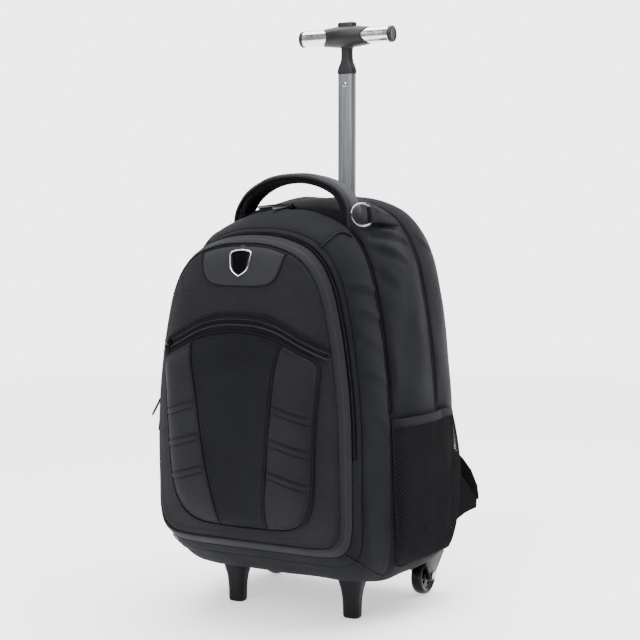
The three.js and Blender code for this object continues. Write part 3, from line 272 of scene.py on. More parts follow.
def edit(o, action, **settings):
    """One edit of a piece's whole mesh."""
    pick(o)
    bpy.ops.object.mode_set(mode="EDIT")
    bpy.ops.mesh.select_all(action="SELECT")
    action(**settings)
    bpy.ops.object.mode_set(mode="OBJECT")


def weld(o, distance=1e-6):
    edit(o, bpy.ops.mesh.remove_doubles, threshold=distance)


def outward(o):
    """Faces of a closed mesh turned outwards."""
    edit(o, bpy.ops.mesh.normals_make_consistent, inside=False)


def modify(o, kind, **settings):
    """A modifier added and applied."""
    pick(o)
    m = o.modifiers.new(kind.lower(), kind)
    for key, value in settings.items():
        setattr(m, key, value)
    bpy.ops.object.modifier_apply(modifier=m.name)
    return o


def combine(o, other, operation):
    """A boolean with another object, which is then removed."""
    modify(o, "BOOLEAN", object=other, operation=operation, solver="EXACT")
    bpy.data.objects.remove(other)


def smooth(o, angle=40):
    pick(o)
    bpy.ops.object.shade_smooth_by_angle(angle=math.radians(angle), keep_sharp_edges=False)
    o.select_set(False)
    return o


def thicken(o, thickness, side=-1):
    """A sheet given a wall, on the side away from its faces."""
    return modify(o, "SOLIDIFY", thickness=thickness * MM, offset=side, use_even_offset=False, use_rim=True)


def finish_piece(o, material, body="bag", stands_for=()):
    o.data.materials.clear()
    o.data.materials.append(material)
    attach(o, body)
    if stands_for:
        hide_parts(*stands_for)
    return o


def capped(rings):
    """Rings closed at both ends by their middles."""
    first, last = (np.broadcast_to(rings[k].mean(0), rings[:1].shape) for k in (0, -1))
    return np.concatenate([first, rings, last])


def loft(name, rings, closed=False, angle=40):
    """Rings of equal count, capped at both ends unless closed into a loop."""
    rings = np.asarray(rings, float)
    rings = np.concatenate([rings, rings[:1]]) if closed else capped(rings)
    o = lay(name, np.concatenate([rings, rings[:, :1]], axis=1), wrap=True)
    outward(o)
    return smooth(o, angle)


def cord(name, path, radius, around=8, closed=False, flat=1.0, normal=(0, -1, 0.01)):
    """A closed round or flattened cord along a path."""
    p = np.asarray(path, float)
    along = unit(np.roll(p, -1, 0) - np.roll(p, 1, 0) if closed else np.gradient(p, axis=0))
    side = unit(np.cross(along, np.broadcast_to(normal, p.shape)))
    up = np.cross(side, along)
    turn = np.linspace(0, 2 * np.pi, around, endpoint=False)[None, :, None]
    rings = p[:, None] + radius * (np.cos(turn) * side[:, None] + flat * np.sin(turn) * up[:, None])
    return loft(name, rings, closed, 60)


def rounded(width, depth, corner, each=12):
    """A rounded rectangle as points across and deep."""
    points = []
    for sx, sy, first in ((1, 1, 0), (-1, 1, 90), (-1, -1, 180), (1, -1, 270)):
        for a in np.radians(np.linspace(first, first + 90, each)):
            points.append((sx * (width / 2 - corner) + corner * math.cos(a),
                           sy * (depth / 2 - corner) + corner * math.sin(a)))
    return np.array(points)


def level(flat, z, x=0, y=0):
    """A flat outline laid level at a height."""
    return np.stack([flat[:, 0] + x, flat[:, 1] + y, np.full(len(flat), z)], 1)


def mesh_piece(name, points, faces):
    """A new object from corners in millimetres and faces."""
    mesh = bpy.data.meshes.new(name)
    mesh.from_pydata(to_frame(points), [], faces)
    o = bpy.data.objects.new(name, mesh)
    bpy.context.collection.objects.link(o)
    return o


def blocks(name, path, normal, size, pitch, stagger=0.0, drop=0.0):
    """Small bevelled blocks along a path, such as stitches or zip teeth; size is along, across, high."""
    p, n = np.asarray(path, float), np.asarray(normal, float)
    reach = reach_along(p)
    at = np.arange(pitch / 2, reach[-1], pitch)
    here = read_along(p, reach, at)
    along = unit(read_along(p, reach, at + 0.4) - read_along(p, reach, at - 0.4))
    across = unit(np.cross(along, read_along(n, reach, at)))
    up = np.cross(across, along)
    bpy.ops.mesh.primitive_cube_add(size=1)
    bpy.ops.object.mode_set(mode="EDIT")
    bpy.ops.transform.resize(value=size)
    bpy.ops.mesh.bevel(offset=min(size) * 0.3, segments=1, affect="EDGES")
    bpy.ops.object.mode_set(mode="OBJECT")
    one = bpy.context.object
    shape = np.array([v.co for v in one.data.vertices])
    faces = [list(f.vertices) for f in one.data.polygons]
    bpy.data.objects.remove(one)
    shift = np.where(np.arange(len(at)) % 2 == 0, stagger, -stagger)
    verts = (here[:, None] + shape[None, :, 0, None] * along[:, None]
             + (shape[None, :, 1, None] + shift[:, None, None]) * across[:, None]
             + (shape[None, :, 2, None] + size[2] / 2 - drop) * up[:, None])
    count = len(shape)
    return mesh_piece(name, verts.reshape(-1, 3),
                      [[v + k * count for v in f] for k in range(len(at)) for f in faces])


def stitch(name, path, normal, size=STITCH, pitch=STITCH_PITCH):
    """A row of stitches, sunk a little into the cloth."""
    return finish_piece(blocks(name, path, normal, size, pitch, drop=0.1), stitch_thread)


# Materials: one small class writes shader maths as expressions

def feed(tree, socket, value):
    """A value set on a socket, or a link led into it."""
    if isinstance(value, Socket):
        value = value.link
    if isinstance(value, bpy.types.NodeSocket):
        tree.links.new(value, socket)
    else:
        socket.default_value = value


class Socket:
    """A node socket that takes part in expressions."""

    def __init__(self, tree, link):
        self.tree, self.link = tree, link

    def _math(self, operation, *values):
        node = self.tree.nodes.new("ShaderNodeMath")
        node.operation = operation
        for socket, value in zip(node.inputs, values):
            feed(self.tree, socket, value)
        return Socket(self.tree, node.outputs[0])

    def __add__(self, other):
        return self._math("ADD", self, other)

    def __sub__(self, other):
        return self._math("SUBTRACT", self, other)

    def __rsub__(self, other):
        return self._math("SUBTRACT", other, self)

    def __mul__(self, other):
        return self._math("MULTIPLY", self, other)

    __radd__, __rmul__ = __add__, __mul__

    def power(self, other):
        return self._math("POWER", self, other)

    def sine(self):
        return self._math("SINE", self)

    def within(self, low, high, new_low=0.0, new_high=1.0):
        """A smooth step from one range to another."""
        node = self.tree.nodes.new("ShaderNodeMapRange")
        node.interpolation_type = "SMOOTHSTEP"
        for key, value in (("Value", self), ("From Min", low), ("From Max", high),
                           ("To Min", new_low), ("To Max", new_high)):
            feed(self.tree, node.inputs[key], value)
        return Socket(self.tree, node.outputs["Result"])


class Finish:
    """A material with its principled shader and the places that its patterns read."""

    def __init__(self, name):
        self.material = bpy.data.materials.new(name)
        self.material.use_nodes = True
        self.tree = self.material.node_tree
        self.shader = self.tree.nodes["Principled BSDF"]
        self.place = self.tree.nodes.new("ShaderNodeTexCoord").outputs["Object"]
        split = self.node("ShaderNodeSeparateXYZ", inputs={0: self.place})
        self.x, self.y, self.z = (Socket(self.tree, split.outputs[k]) for k in range(3))

    def node(self, kind, settings=(), inputs=()):
        """Any other node, with its settings and the values or links of its sockets."""
        node = self.tree.nodes.new(kind)
        for key, value in dict(settings).items():
            setattr(node, key, value)
        for key, value in dict(inputs).items():
            feed(self.tree, node.inputs[key], value)
        return node

    def noise(self, scale, detail=3, stretch=(1, 1, 1)):
        mapped = self.node("ShaderNodeMapping", inputs={"Vector": self.place, "Scale": stretch})
        made = self.node("ShaderNodeTexNoise", inputs={
            "Vector": mapped.outputs[0], "Scale": scale, "Detail": detail, "Roughness": 0.55})
        return Socket(self.tree, made.outputs["Fac"])

    def mix(self, share, colour, dark, light):
        """A colour between a darker and a lighter share of itself."""
        ends = [(*[min(1, c * part) for c in colour], 1) for part in (dark, light)]
        made = self.node("ShaderNodeMix", {"data_type": "RGBA"}, {0: share, 6: ends[0], 7: ends[1]})
        return made.outputs[2]

    def set(self, **values):
        """Inputs of the shader, with underscores for the spaces in their names."""
        for key, value in values.items():
            feed(self.tree, self.shader.inputs[key.replace("_", " ")], value)
        return self

    def bump(self, height, distance):
        made = self.node("ShaderNodeBump", inputs={"Height": height, "Distance": distance, "Strength": 1.0})
        return self.set(Normal=made.outputs["Normal"])


def cloth_finish(name, colour, rough=0.62, twill=0.0011, depth=0.00022, gloss=0.04):
    """Woven polyester: diagonal ribs of the twill over a fine even weave."""
    f = Finish(name)
    flat = f.x + f.y * 0.86
    rib = ((flat + f.z) * (2 * math.pi / twill)).sine()
    thread = ((flat - f.z * 0.9) * (2 * math.pi / (twill * 0.72))).sine()
    drift = f.noise(16, 4)
    shade = drift.within(0.3, 0.72) * 0.6 + f.noise(420, 2) * 0.4
    f.set(Base_Color=f.mix(shade, colour, 0.72, 1.35),
          Roughness=drift.within(0.3, 0.7, rough - 0.06, rough + 0.06),
          Sheen_Weight=0.02, Sheen_Roughness=0.45, Sheen_Tint=(0.8, 0.86, 1.0, 1), Specular_IOR_Level=gloss)
    return f.bump(rib * 0.6 + thread * 0.4, depth).material


def plain_finish(name, colour, rough, metal=0.0, grain=900, depth=0.00002, wear=0.08, specular=0.5):
    """Moulded plastic or metal with a fine grain and slight handling marks."""
    f = Finish(name)
    marks = f.noise(55, 5)
    f.set(Base_Color=f.mix(marks, colour, 1 - wear, 1 + wear), Metallic=metal, Specular_IOR_Level=specular,
          Roughness=marks.within(0.3, 0.7, max(0.03, rough - 0.05), rough + 0.07))
    return f.bump(f.noise(grain, 2), depth).material


def brushed_finish(name, colour, rough):
    """Drawn aluminium with fine lines along its length."""
    f = Finish(name)
    lines = f.noise(900, 2, stretch=(1, 1, 0.01))
    f.set(Base_Color=f.mix(lines, colour, 0.9, 1), Metallic=1.0,
          Roughness=lines.within(0.3, 0.7, rough - 0.05, rough + 0.08))
    return f.bump(lines, 0.00003).material


def ribbed_finish(name, colour, pitch, rough):
    """Webbing, binding tape, thread and zip tape: fine ribs one above another."""
    f = Finish(name)
    rib = (f.z * (2 * math.pi / pitch)).sine()
    cross = ((f.x + f.y + f.z) * (2 * math.pi / (pitch * 0.6))).sine()
    f.set(Base_Color=f.mix(f.noise(60, 3), colour, 0.7, 1.3), Roughness=rough,
          Sheen_Weight=0.02, Specular_IOR_Level=0.03)
    return f.bump(rib * 0.7 + cross * 0.3, 0.0003).material


DIMPLE_PITCH = 0.0035


def spacer_finish(name, colour):
    """Padded spacer mesh: a field of small round dimples, with painted shade that darkens the colour in their
    pits.
    """
    f = Finish(name)
    cells = f.node("ShaderNodeTexVoronoi", inputs={
        "Vector": f.place, "Scale": 1 / DIMPLE_PITCH, "Randomness": 0.25})
    dimple_and_shade = Socket(f.tree, cells.outputs["Distance"]).within(0.15, 0.5)
    # painted shade: the colour is much darker in each pit and lighter on the mesh between the pits
    f.set(Base_Color=f.mix(dimple_and_shade, colour, 0.35, 1.3), Roughness=0.82,
          Sheen_Weight=0.02, Specular_IOR_Level=0.03)
    return f.bump(dimple_and_shade, 0.0009).material


CHARCOAL = (0.0062, 0.0064, 0.0078)
twill = cloth_finish("twill", (0.0088, 0.0090, 0.0105), 0.6, twill=0.0026, depth=0.00035, gloss=0.08)
cloth = cloth_finish("cloth", CHARCOAL, 0.64, twill=0.0016, depth=0.0002)
panel_cloth = cloth_finish("panel_cloth", (0.0058, 0.0060, 0.0072), 0.6, twill=0.0013, depth=0.00015)
smooth_panel = cloth_finish("smooth_panel", (0.013, 0.0134, 0.0155), 0.5, twill=0.0009, depth=0.00008,
                            gloss=0.12)
stitch_thread = ribbed_finish("stitch_thread", (0.012, 0.012, 0.014), 0.0008, 0.6)
piping = cloth_finish("piping", (0.006, 0.006, 0.007), 0.5, twill=0.0012, depth=0.0001)
zip_tape = ribbed_finish("zip_tape", (0.004, 0.004, 0.005), 0.0014, 0.7)
zip_teeth = plain_finish("zip_teeth", (0.006, 0.006, 0.007), 0.45, specular=0.08)
webbing = ribbed_finish("webbing", (0.007, 0.007, 0.008), 0.0016, 0.68)
net_thread = ribbed_finish("net_thread", (0.016, 0.016, 0.018), 0.0008, 0.6)
binding = ribbed_finish("binding", (0.010, 0.010, 0.012), 0.0014, 0.6)
air_mesh = spacer_finish("air_mesh", (0.008, 0.008, 0.009))
chrome = plain_finish("chrome", (0.62, 0.63, 0.65), 0.2, metal=1.0, wear=0.05)
dark_chrome = plain_finish("dark_chrome", (0.30, 0.31, 0.33), 0.14, metal=1.0, wear=0.05)
gunmetal = plain_finish("gunmetal", (0.022, 0.023, 0.026), 0.34, metal=1.0)
aluminium = brushed_finish("aluminium", (0.33, 0.34, 0.37), 0.36)
polished = plain_finish("polished", (0.80, 0.81, 0.83), 0.22, metal=1.0, wear=0.03)
plastic = plain_finish("plastic", (0.0095, 0.0098, 0.011), 0.45, grain=1400, depth=0.00004, specular=0.3)
grey_plastic = plain_finish("grey_plastic", (0.017, 0.0175, 0.021), 0.45, specular=0.15)
wheel_black = plain_finish("wheel_black", (0.004, 0.004, 0.0045), 0.28, specular=0.15)
badge_black = plain_finish("badge_black", (0.002, 0.002, 0.0025), 0.25, specular=0.04)
gusset_cloth = cloth_finish("gusset_cloth", (0.0044, 0.0046, 0.0056), 0.64, twill=0.0016, depth=0.0002)
zip_flap = cloth_finish("zip_flap", (0.0056, 0.0058, 0.0068), 0.6, twill=0.0014, depth=0.00015)
foot_plastic = plain_finish("foot_plastic", (0.0075, 0.0077, 0.009), 0.45, grain=1400, depth=0.00004,
                            specular=0.1)


# Soft shapes: folds, seams and slow waves that are added to a smooth skin

def waves(points, length, seed):
    """A slow, even field of waves between about -1 and 1."""
    rng = np.random.default_rng(seed)
    total = 0
    for _ in range(7):
        way = rng.normal(size=3)
        way /= np.linalg.norm(way)
        rate = 2 * np.pi / length
        total = total + np.sin(points @ way * rate * rng.uniform(0.7, 1.4) + rng.uniform(0, 6.28))
    return total / 7 ** 0.5 / 1.4


def fold(points, start, end, width, depth):
    """A crease from one place to another with a soft ridge on its upper side."""
    a, b = np.asarray(start, float), np.asarray(end, float)
    run = b - a
    t = (points - a) @ run / (run @ run)
    off = points - a - np.clip(t, 0, 1)[..., None] * run
    side = np.sign(off[..., 2])
    away = np.linalg.norm(off, axis=-1)
    fade = np.clip(1.15 - np.abs(t - 0.5) * 1.6, 0, 1) ** 0.7
    signed = side * away / width
    return depth * fade * (-np.exp(-signed ** 2) + 0.75 * np.exp(-(signed - 1.7) ** 2))


def groove(distance, width, depth):
    return -depth * np.exp(-(distance / width) ** 2)


def height_on(r, y):
    return flat_point(r, y)[..., 2]


BAND_COLUMNS, REAR_COLUMNS, FACE_COLUMNS, BAND_STEP, HEM_TUCK, PUCKER = 460, 420, 520, 2.6, 1.2, 0.22
HEM_ROWS = np.array([0, 0.5, 1.1, 1.9, 2.9])
NARROW_BAND = 12


def hem_start(r, y, slit):
    """Where a cloth begins: past the zip above the slit's height, and at the seam itself below it."""
    return y + ZIP_SLIT * np.clip((height_on(r, y) - slit) / 5 + 0.5, 0, 1) ** 1.5


def bag_band(name, start, end, slit=None, folds=(), puff=0.0, seed=1, wave=0.5):
    """One cloth of the bag between two seams, open towards its neighbours, with its hems rolled in."""
    r = np.linspace(0, 2, BAND_COLUMNS + 1)
    long = end - start
    fine = HEM_ROWS
    inner = np.linspace(4.2, long - 4.2, max(2, int((long - 8.4) / BAND_STEP) + 1))
    if long < NARROW_BAND:
        inner = np.array([long / 2])
        fine = HEM_ROWS[:-1]
    share = np.concatenate([fine, inner, long - fine[::-1]]) / long
    first = np.full_like(r, start) if slit is None else hem_start(r, start, slit)
    y = first[None] + share[:, None] * (end - first)[None]
    rr = np.broadcast_to(r, y.shape)
    base = skin(rr, y)
    from_edge = np.minimum(y - first[None], end - y)
    along = rr * 560
    lift = -HEM_TUCK * np.exp(-from_edge / 0.9)
    lift += puff * np.sin(np.pi * np.clip(share, 0, 1))[:, None]
    lift += wave * waves(base, 70, seed) * np.clip(from_edge / 10, 0, 1)
    rough = np.sin(along / 2.1 + 1.5 * np.sin(along / 11 + seed)) * waves(base, 40, seed + 5)
    lift += PUCKER * rough * np.exp(-np.abs(from_edge - 4.5) / 3.5)
    lift += groove(from_edge - 3.4, 0.7, 0.35)
    for one in folds:
        lift += fold(base, *one)
    normal = skin_normal(rr, y)
    return sheet(name, base + normal * lift[..., None], normal)


def sheet(name, points, normal):
    """A cloth 2 mm thick laid on points, with its face to the side that the normals point to."""
    o = lay(name, points, wrap=True)
    turn_out(o, points, normal)
    thicken(o, 2.0)
    return smooth(o, 50)


def turn_out(o, points, normal):
    """Faces of an open sheet turned to the side that its normals point to."""
    o.data.update()
    face = o.data.polygons[len(o.data.polygons) // 2]
    nearest = np.argmin(((points.reshape(-1, 3) - to_bag(face.center)) ** 2).sum(1))
    if np.dot(np.array(face.normal), normal.reshape(-1, 3)[nearest]) < 0:
        edit(o, bpy.ops.mesh.flip_normals)


def seam_path(y, low, lift, count=420):
    """A path round the bag at one depth, above a height, from the right side over the top to the left."""
    r = np.linspace(0, 1, 2001)
    heights = height_on(r, y)
    start = r[np.argmax(heights > low)] if low > heights.min() else 0.0
    rr = np.linspace(start, 2 - start, count)
    return skin(rr, np.full(count, y), lift), skin_normal(rr, np.full(count, float(y)))


TAPE_ROWS = [
    # across, lift
    (-4.4, -3.4), (-3.2, -2.6), (-1.7, -2.2), (-0.8, -1.7),
    (0.8, -1.7), (1.7, -2.2), (3.2, -2.6), (4.4, -3.4),
]


def add_zip(name, y, low):
    """Tape sunk between the two hems, and a row of teeth that mesh."""
    middle = y + ZIP_SLIT / 2
    rows, normals = [], []
    for across, lift in TAPE_ROWS:
        path, normal = seam_path(middle + across, low, 0)
        rows.append(path + normal * lift)
        normals.append(normal)
    points = np.array(rows)
    tape = lay(name + "_tape", points)
    turn_out(tape, points, np.array(normals))
    thicken(tape, 1.0)
    finish_piece(smooth(tape), zip_tape, stands_for=(name,))
    path, normal = seam_path(middle, low, -1.7, 900)
    teeth = blocks(name + "_teeth", path, normal, (1.25, 3.4, 1.5), 2.0, stagger=0.55)
    finish_piece(teeth, zip_teeth)


FLAP_SEAM = [
    # round, back
    (0.861, -219), (0.862, -210), (0.863, -200), (0.864, -189), (0.862, -180), (0.855, -172), (0.845, -166),
]
LOW_SEAM = [
    # round, back
    (0.204, -230), (0.209, -208), (0.211, -189), (0.209, -172), (0.208, -160),
]


def add_flap_seams():
    """A curved seam on each shoulder, from the front zip to the middle one, and one low on each side."""
    low_line, line = spline(LOW_SEAM, 60), spline(FLAP_SEAM, 60)
    for name, flip in SIDES:
        mirror = (flip, 1, 1)
        low_path = skin(low_line[:, 0], low_line[:, 1], 1.0) * mirror
        finish_piece(cord(f"low_seam_{name}", low_path, 1.0, flat=0.8), piping)
        path = skin(line[:, 0], line[:, 1], 0.9) * mirror
        finish_piece(cord(f"shoulder_seam_{name}", path, 1.1, flat=0.8), piping)
        beside = skin(line[:, 0] + 0.006, line[:, 1], 0.5) * mirror
        normal = skin_normal(line[:, 0], line[:, 1]) * mirror
        stitch(f"shoulder_seam_stitches_{name}", beside, normal)


# Main cloths of the bag, from front to back
SIDE_X = 138
middle_folds = [
    # start, end, width, depth
    ((112, -208, 400), (121, -160, 393), 4.5, 2.6),
    ((121, -203, 369), (125, -158, 360), 5.0, 2.3),
    ((125, -206, 338), (130, -168, 325), 6.0, 1.5),
    ((128, -212, 303), (137, -165, 286), 4.5, 2.0),
    ((133, -190, 240), (140, -162, 225), 7.0, 1.4),
    ((-SIDE_X, -205, 360), (-SIDE_X, -165, 350), 5.0, 1.4),
    ((-SIDE_X, -205, 300), (-SIDE_X, -160, 310), 6.0, 1.2),
]
main_folds = [
    ((94, -116, 471), (98, -53, 476), 4.5, 3.0),
    ((100, -128, 462), (112, -62, 454), 5.0, 3.0),
    ((108, -146, 448), (124, -84, 430), 6.0, 2.4),
    ((120, -148, 420), (133, -112, 398), 7.0, 1.6),
    ((142, -62, 420), (150, -56, 300), 9.0, 1.2),
    ((140, -145, 380), (146, -90, 350), 12.0, 1.0),
    ((-110, -150, 452), (-138, -80, 425), 8.0, 1.8),
    ((-142, -140, 330), (-148, -60, 350), 12.0, 1.4),
]
rear_folds = [
    ((118, -30, 462), (134, 22, 430), 7.0, 1.2),
    ((-118, -30, 462), (-134, 22, 430), 7.0, 1.2),
]


def add_bands():
    gusset = bag_band("front_gusset_cloth", FRONT_ZIP_Y, GUSSET_END_Y - 0.2, FRONT_ZIP_END,
                      wave=0.25, seed=3)
    finish_piece(gusset, gusset_cloth, stands_for=("front_gusset",))
    middle = bag_band("middle_cloth", GUSSET_END_Y + 0.2, MIDDLE_ZIP_Y, None, folds=middle_folds,
                      seed=7, wave=0.9, puff=0.6)
    finish_piece(middle, cloth, stands_for=("middle_compartment",))
    main = bag_band("main_cloth", MIDDLE_ZIP_Y, REAR_ZIP_Y, SIDE_ZIP_END, folds=main_folds,
                    seed=11, wave=1.3, puff=0.8)
    finish_piece(main, cloth, stands_for=("main_compartment",))
    for name, y, low in (("front_zip", FRONT_ZIP_Y, FRONT_ZIP_END),
                         ("middle_zip", MIDDLE_ZIP_Y, SIDE_ZIP_END),
                         ("rear_zip", REAR_ZIP_Y, SIDE_ZIP_END)):
        add_zip(name, y, low)
        for place, at in (("front", y - 3.4), ("back", y + ZIP_SLIT + 3.4)):
            path, normal = seam_path(at, low, -0.1, 900)
            stitch(f"{name}_stitches_{place}", path, normal)


def add_rear():
    """The rear compartment: its band runs on over a rounded edge into the back face."""
    r = np.linspace(0, 2, REAR_COLUMNS + 1)
    first = hem_start(r, REAR_ZIP_Y, SIDE_ZIP_END)
    near = np.concatenate([HEM_ROWS, np.linspace(4.5, 70, 26), [72.2, 73.6, 74.4, BACK_Y - REAR_ZIP_Y]])
    rows = []
    for step in near:
        y = np.minimum(first + step / (BACK_Y - REAR_ZIP_Y) * (BACK_Y - first), BACK_Y)
        base = skin(r, y)
        lift = 0.7 * waves(base, 80, 21) * np.clip((y - first) / 10, 0, 1)
        lift = lift - HEM_TUCK * np.exp(-(y - first) / 0.9)
        lift = lift + groove(y - first - 3.4, 0.7, 0.35)
        for one in rear_folds:
            lift = lift + fold(base, *one)
        rows.append(base + skin_normal(r, y) * lift[:, None])
    edge = rows[-1]
    for share in np.cos(np.linspace(0, np.pi / 2, 40))[1:]:
        dome = max(0.0, 1 - share ** 6) ** 0.5
        rows.append(np.stack([edge[:, 0] * share, np.full(len(r), BACK_Y + BACK_BULGE * dome),
                              BACK_MIDDLE + (edge[:, 2] - BACK_MIDDLE) * share], 1))
    points = np.array(rows)
    normal = np.zeros_like(points)
    side_rows = len(near) + 1
    normal[:side_rows] = skin_normal(r, np.zeros_like(r))[None]
    normal[side_rows:, :, 1] = 1
    o = sheet("rear_cloth", points, normal)
    # a hole for the mast and its collar through the top of the cloth
    low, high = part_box("mast_collar")
    combine(o, box_between("collar_hole", low, high, grow=-0.0015, stretch=0.02), "DIFFERENCE")
    finish_piece(smooth(o, 50), cloth, stands_for=("rear_compartment",))


def box_between(name, low, high, grow=0.0, stretch=0.0):
    low, high = Vector(low), Vector(high)
    bpy.ops.mesh.primitive_cube_add(size=1, location=(low + high) / 2)
    o = rename(name)
    span = high - low
    o.scale = (span.x + 2 * grow, span.y + 2 * grow, span.z + 2 * stretch)
    bpy.ops.object.transform_apply(location=True, rotation=True, scale=True)
    return o


def face_details(x, z, base_y):
    """Relief of the plain part of the front face, in millimetres towards the viewer."""
    points = np.stack([x, base_y, z], -1)
    lift = 0.7 * waves(points, 90, 31)
    lift += fold(points, (-30, -262, 398), (-5, -264, 385), 9, 0.6)
    lift += fold(points, (10, -262, 392), (34, -264, 380), 9, 0.5)
    return lift


def on_face_ring(ring, share):
    """The places and the depth of a ring drawn in towards the middle of the front face."""
    z = FACE_MIDDLE + (ring[:, 2] - FACE_MIDDLE) * share
    return ring[:, 0] * share, FRONT_Y - face_rise(share, z), z


def add_front_panel():
    r = np.linspace(0, 2, FACE_COLUMNS + 1)
    edge = skin(r, np.full_like(r, FRONT_Y))
    rows, normals = [], []
    for share in np.sin(np.linspace(0, np.pi / 2, 110)) ** 0.8:
        x, y, z = on_face_ring(edge, share)
        lift = face_details(x, z, y) * np.clip((1 - share) / 0.12, 0, 1)
        from_seam = (0.962 - share) * 150
        lift = lift + groove(from_seam, 1.0, 1.6) + 0.7 * np.exp(-((from_seam - 4) / 3) ** 2)
        lift = lift + 0.9 * np.exp(-((from_seam + 2.2) / 1.4) ** 2)
        rows.append(np.stack([x, y - lift, z], 1))
        normals.append(np.broadcast_to((0.0, -1.0, 0.0), (len(r), 3)))
    last = -233.5
    for y in (-242.2, -241, -239.4, -237.5, -235.8, -234.6, -233.9, last):
        yy = np.full_like(r, y)
        rows.append(skin(r, yy, -HEM_TUCK * np.exp(-(last - y) / 0.9)))
        normals.append(skin_normal(r, yy))
    o = sheet("front_panel_cloth", np.array(rows), np.array(normals))
    finish_piece(o, twill, stands_for=("front_panel",))
    rr = np.linspace(0, 2, 900)
    x, y, z = on_face_ring(skin(rr, np.full_like(rr, FRONT_Y)), 0.945)
    normal = np.stack([x * 0.004, -np.ones_like(x), (z - FACE_MIDDLE) * 0.004], 1)
    stitch("front_seam_stitches", np.stack([x, y - 0.75, z], 1), normal, (2.2, 0.45, 0.35))


# Front pocket: a plain middle panel between two quilted sides, drawn in height and width of the face

POCKET_HALF, POCKET_HEIGHT, POCKET_BASE, POCKET_PUFF = 102, 231, 122, 17
POCKET_ROWS = np.array([
    # out, up
    (0.00, 0.000), (0.40, 0.004), (0.62, 0.016), (0.78, 0.055), (0.90, 0.150), (0.945, 0.300),
    (0.965, 0.500), (1.00, 0.720), (1.00, 0.855), (0.80, 0.905), (0.50, 0.965), (0.22, 0.993), (0.00, 1.000),
])
PANEL_ROWS = np.array([
    # up, half
    (-0.1, 0.30), (0.10, 0.33), (0.35, 0.41), (0.65, 0.49), (0.88, 0.57), (1.10, 0.66),
])
QUILT_ROWS = [
    # up, drop
    (0.650, 0.065), (0.485, 0.065), (0.320, 0.070),
]
pocket_half_line = spline(POCKET_ROWS * (POCKET_HALF, POCKET_HEIGHT), 200)
pocket_edge = np.vstack([pocket_half_line, pocket_half_line[-2:0:-1] * (-1, 1)]) + (0, POCKET_BASE)
POCKET_MIDDLE = POCKET_BASE + 0.52 * POCKET_HEIGHT
pocket_angle = np.unwrap(np.arctan2(pocket_edge[:, 1] - POCKET_MIDDLE, pocket_edge[:, 0]))
pocket_reach = np.hypot(pocket_edge[:, 0], pocket_edge[:, 1] - POCKET_MIDDLE)


def pocket_share(x, z):
    return polar_share(x, z, POCKET_MIDDLE, pocket_angle, pocket_reach)


def pocket_y(x, z):
    share = np.clip(pocket_share(x, z), 0, 1)
    full = 0.62 + 0.38 * (z - POCKET_BASE) / POCKET_HEIGHT
    return face_y(x, z) - POCKET_PUFF * np.sqrt(np.clip(1 - share ** 9, 0, 1)) * full


def panel_half(z):
    return POCKET_HALF * read_rows(PANEL_ROWS, (z - POCKET_BASE) / POCKET_HEIGHT, 1)


def to_outline(x, z, outline):
    """Distance from an outline, its nearest place on it, and whether the place is inside."""
    a, b = outline, np.roll(outline, -1, 0)
    best = np.full(x.shape, 1e9)
    near_x, near_z = np.zeros_like(x), np.zeros_like(z)
    inside = np.zeros(x.shape, bool)
    for (ax, az), (bx, bz) in zip(a, b):
        dx, dz = bx - ax, bz - az
        t = np.clip(((x - ax) * dx + (z - az) * dz) / (dx * dx + dz * dz + 1e-12), 0, 1)
        px, pz = ax + t * dx, az + t * dz
        d = np.hypot(x - px, z - pz)
        closer = d < best
        best = np.where(closer, d, best)
        near_x, near_z = np.where(closer, px, near_x), np.where(closer, pz, near_z)
        crosses = ((az > z) != (bz > z)) & (x < (bx - ax) * (z - az) / (bz - az + 1e-12) + ax)
        inside ^= crosses
    return best, near_x, near_z, inside


def cut_panel(name, outline, depth, relief, cell=1.3, wall=3.0):
    """A panel cut to an outline: its face follows depth less relief, its rim runs back by wall."""
    outline = np.asarray(outline, float)
    low, high = outline.min(0) - cell, outline.max(0) + cell
    nx, nz = int((high[0] - low[0]) / cell) + 1, int((high[1] - low[1]) / cell) + 1
    x, z = np.meshgrid(np.linspace(low[0], high[0], nx), np.linspace(low[1], high[1], nz))
    distance, near_x, near_z, inside = to_outline(x, z, outline)
    snap = ~inside & (distance < 1.6 * cell)
    tight = inside & (distance < 0.35 * cell)
    moved = snap | tight
    x, z = np.where(moved, near_x, x), np.where(moved, near_z, z)
    distance = np.where(moved, 0, distance)
    y = depth(x, z)
    y = y - relief(x, z, distance, y)
    o = lay(name, np.stack([x, y, z], -1), keep=inside | snap)
    mesh = bmesh.new()
    mesh.from_mesh(o.data)
    thin = [f for f in mesh.faces if f.calc_area() <= 1e-12]
    bmesh.ops.delete(mesh, geom=thin, context="FACES")
    bmesh.ops.remove_doubles(mesh, verts=mesh.verts, dist=1e-5)
    loose = [v for v in mesh.verts if not v.link_faces]
    bmesh.ops.delete(mesh, geom=loose, context="VERTS")
    mesh.normal_update()
    backward = [f for f in mesh.faces if f.normal.y > 0]
    bmesh.ops.reverse_faces(mesh, faces=backward)
    rim = [e for e in mesh.edges if e.is_boundary]
    drawn = bmesh.ops.extrude_edge_only(mesh, edges=rim)
    for v in (g for g in drawn["geom"] if isinstance(g, bmesh.types.BMVert)):
        v.co.y += wall * MM
    mesh.to_mesh(o.data)
    mesh.free()
    o.data.update()
    return smooth(o, 55)


def bump_at(distance, width, rise):
    """A soft ridge across a distance."""
    return rise * np.exp(-(distance / width) ** 2)


def pocket_relief(x, z, distance, y, wave, seed):
    """The rolled edge and the slow waves that all panels of the pocket have."""
    return -1.6 * np.exp(-distance / 1.1) + wave * waves(np.stack([x, y, z], -1), *seed)


def centre_relief(x, z, distance, y):
    from_side = np.abs(x) - panel_half(z)
    return pocket_relief(x, z, distance, y, 0.55, (75, 41)) + bump_at(from_side + 4, 1.6, 0.5)


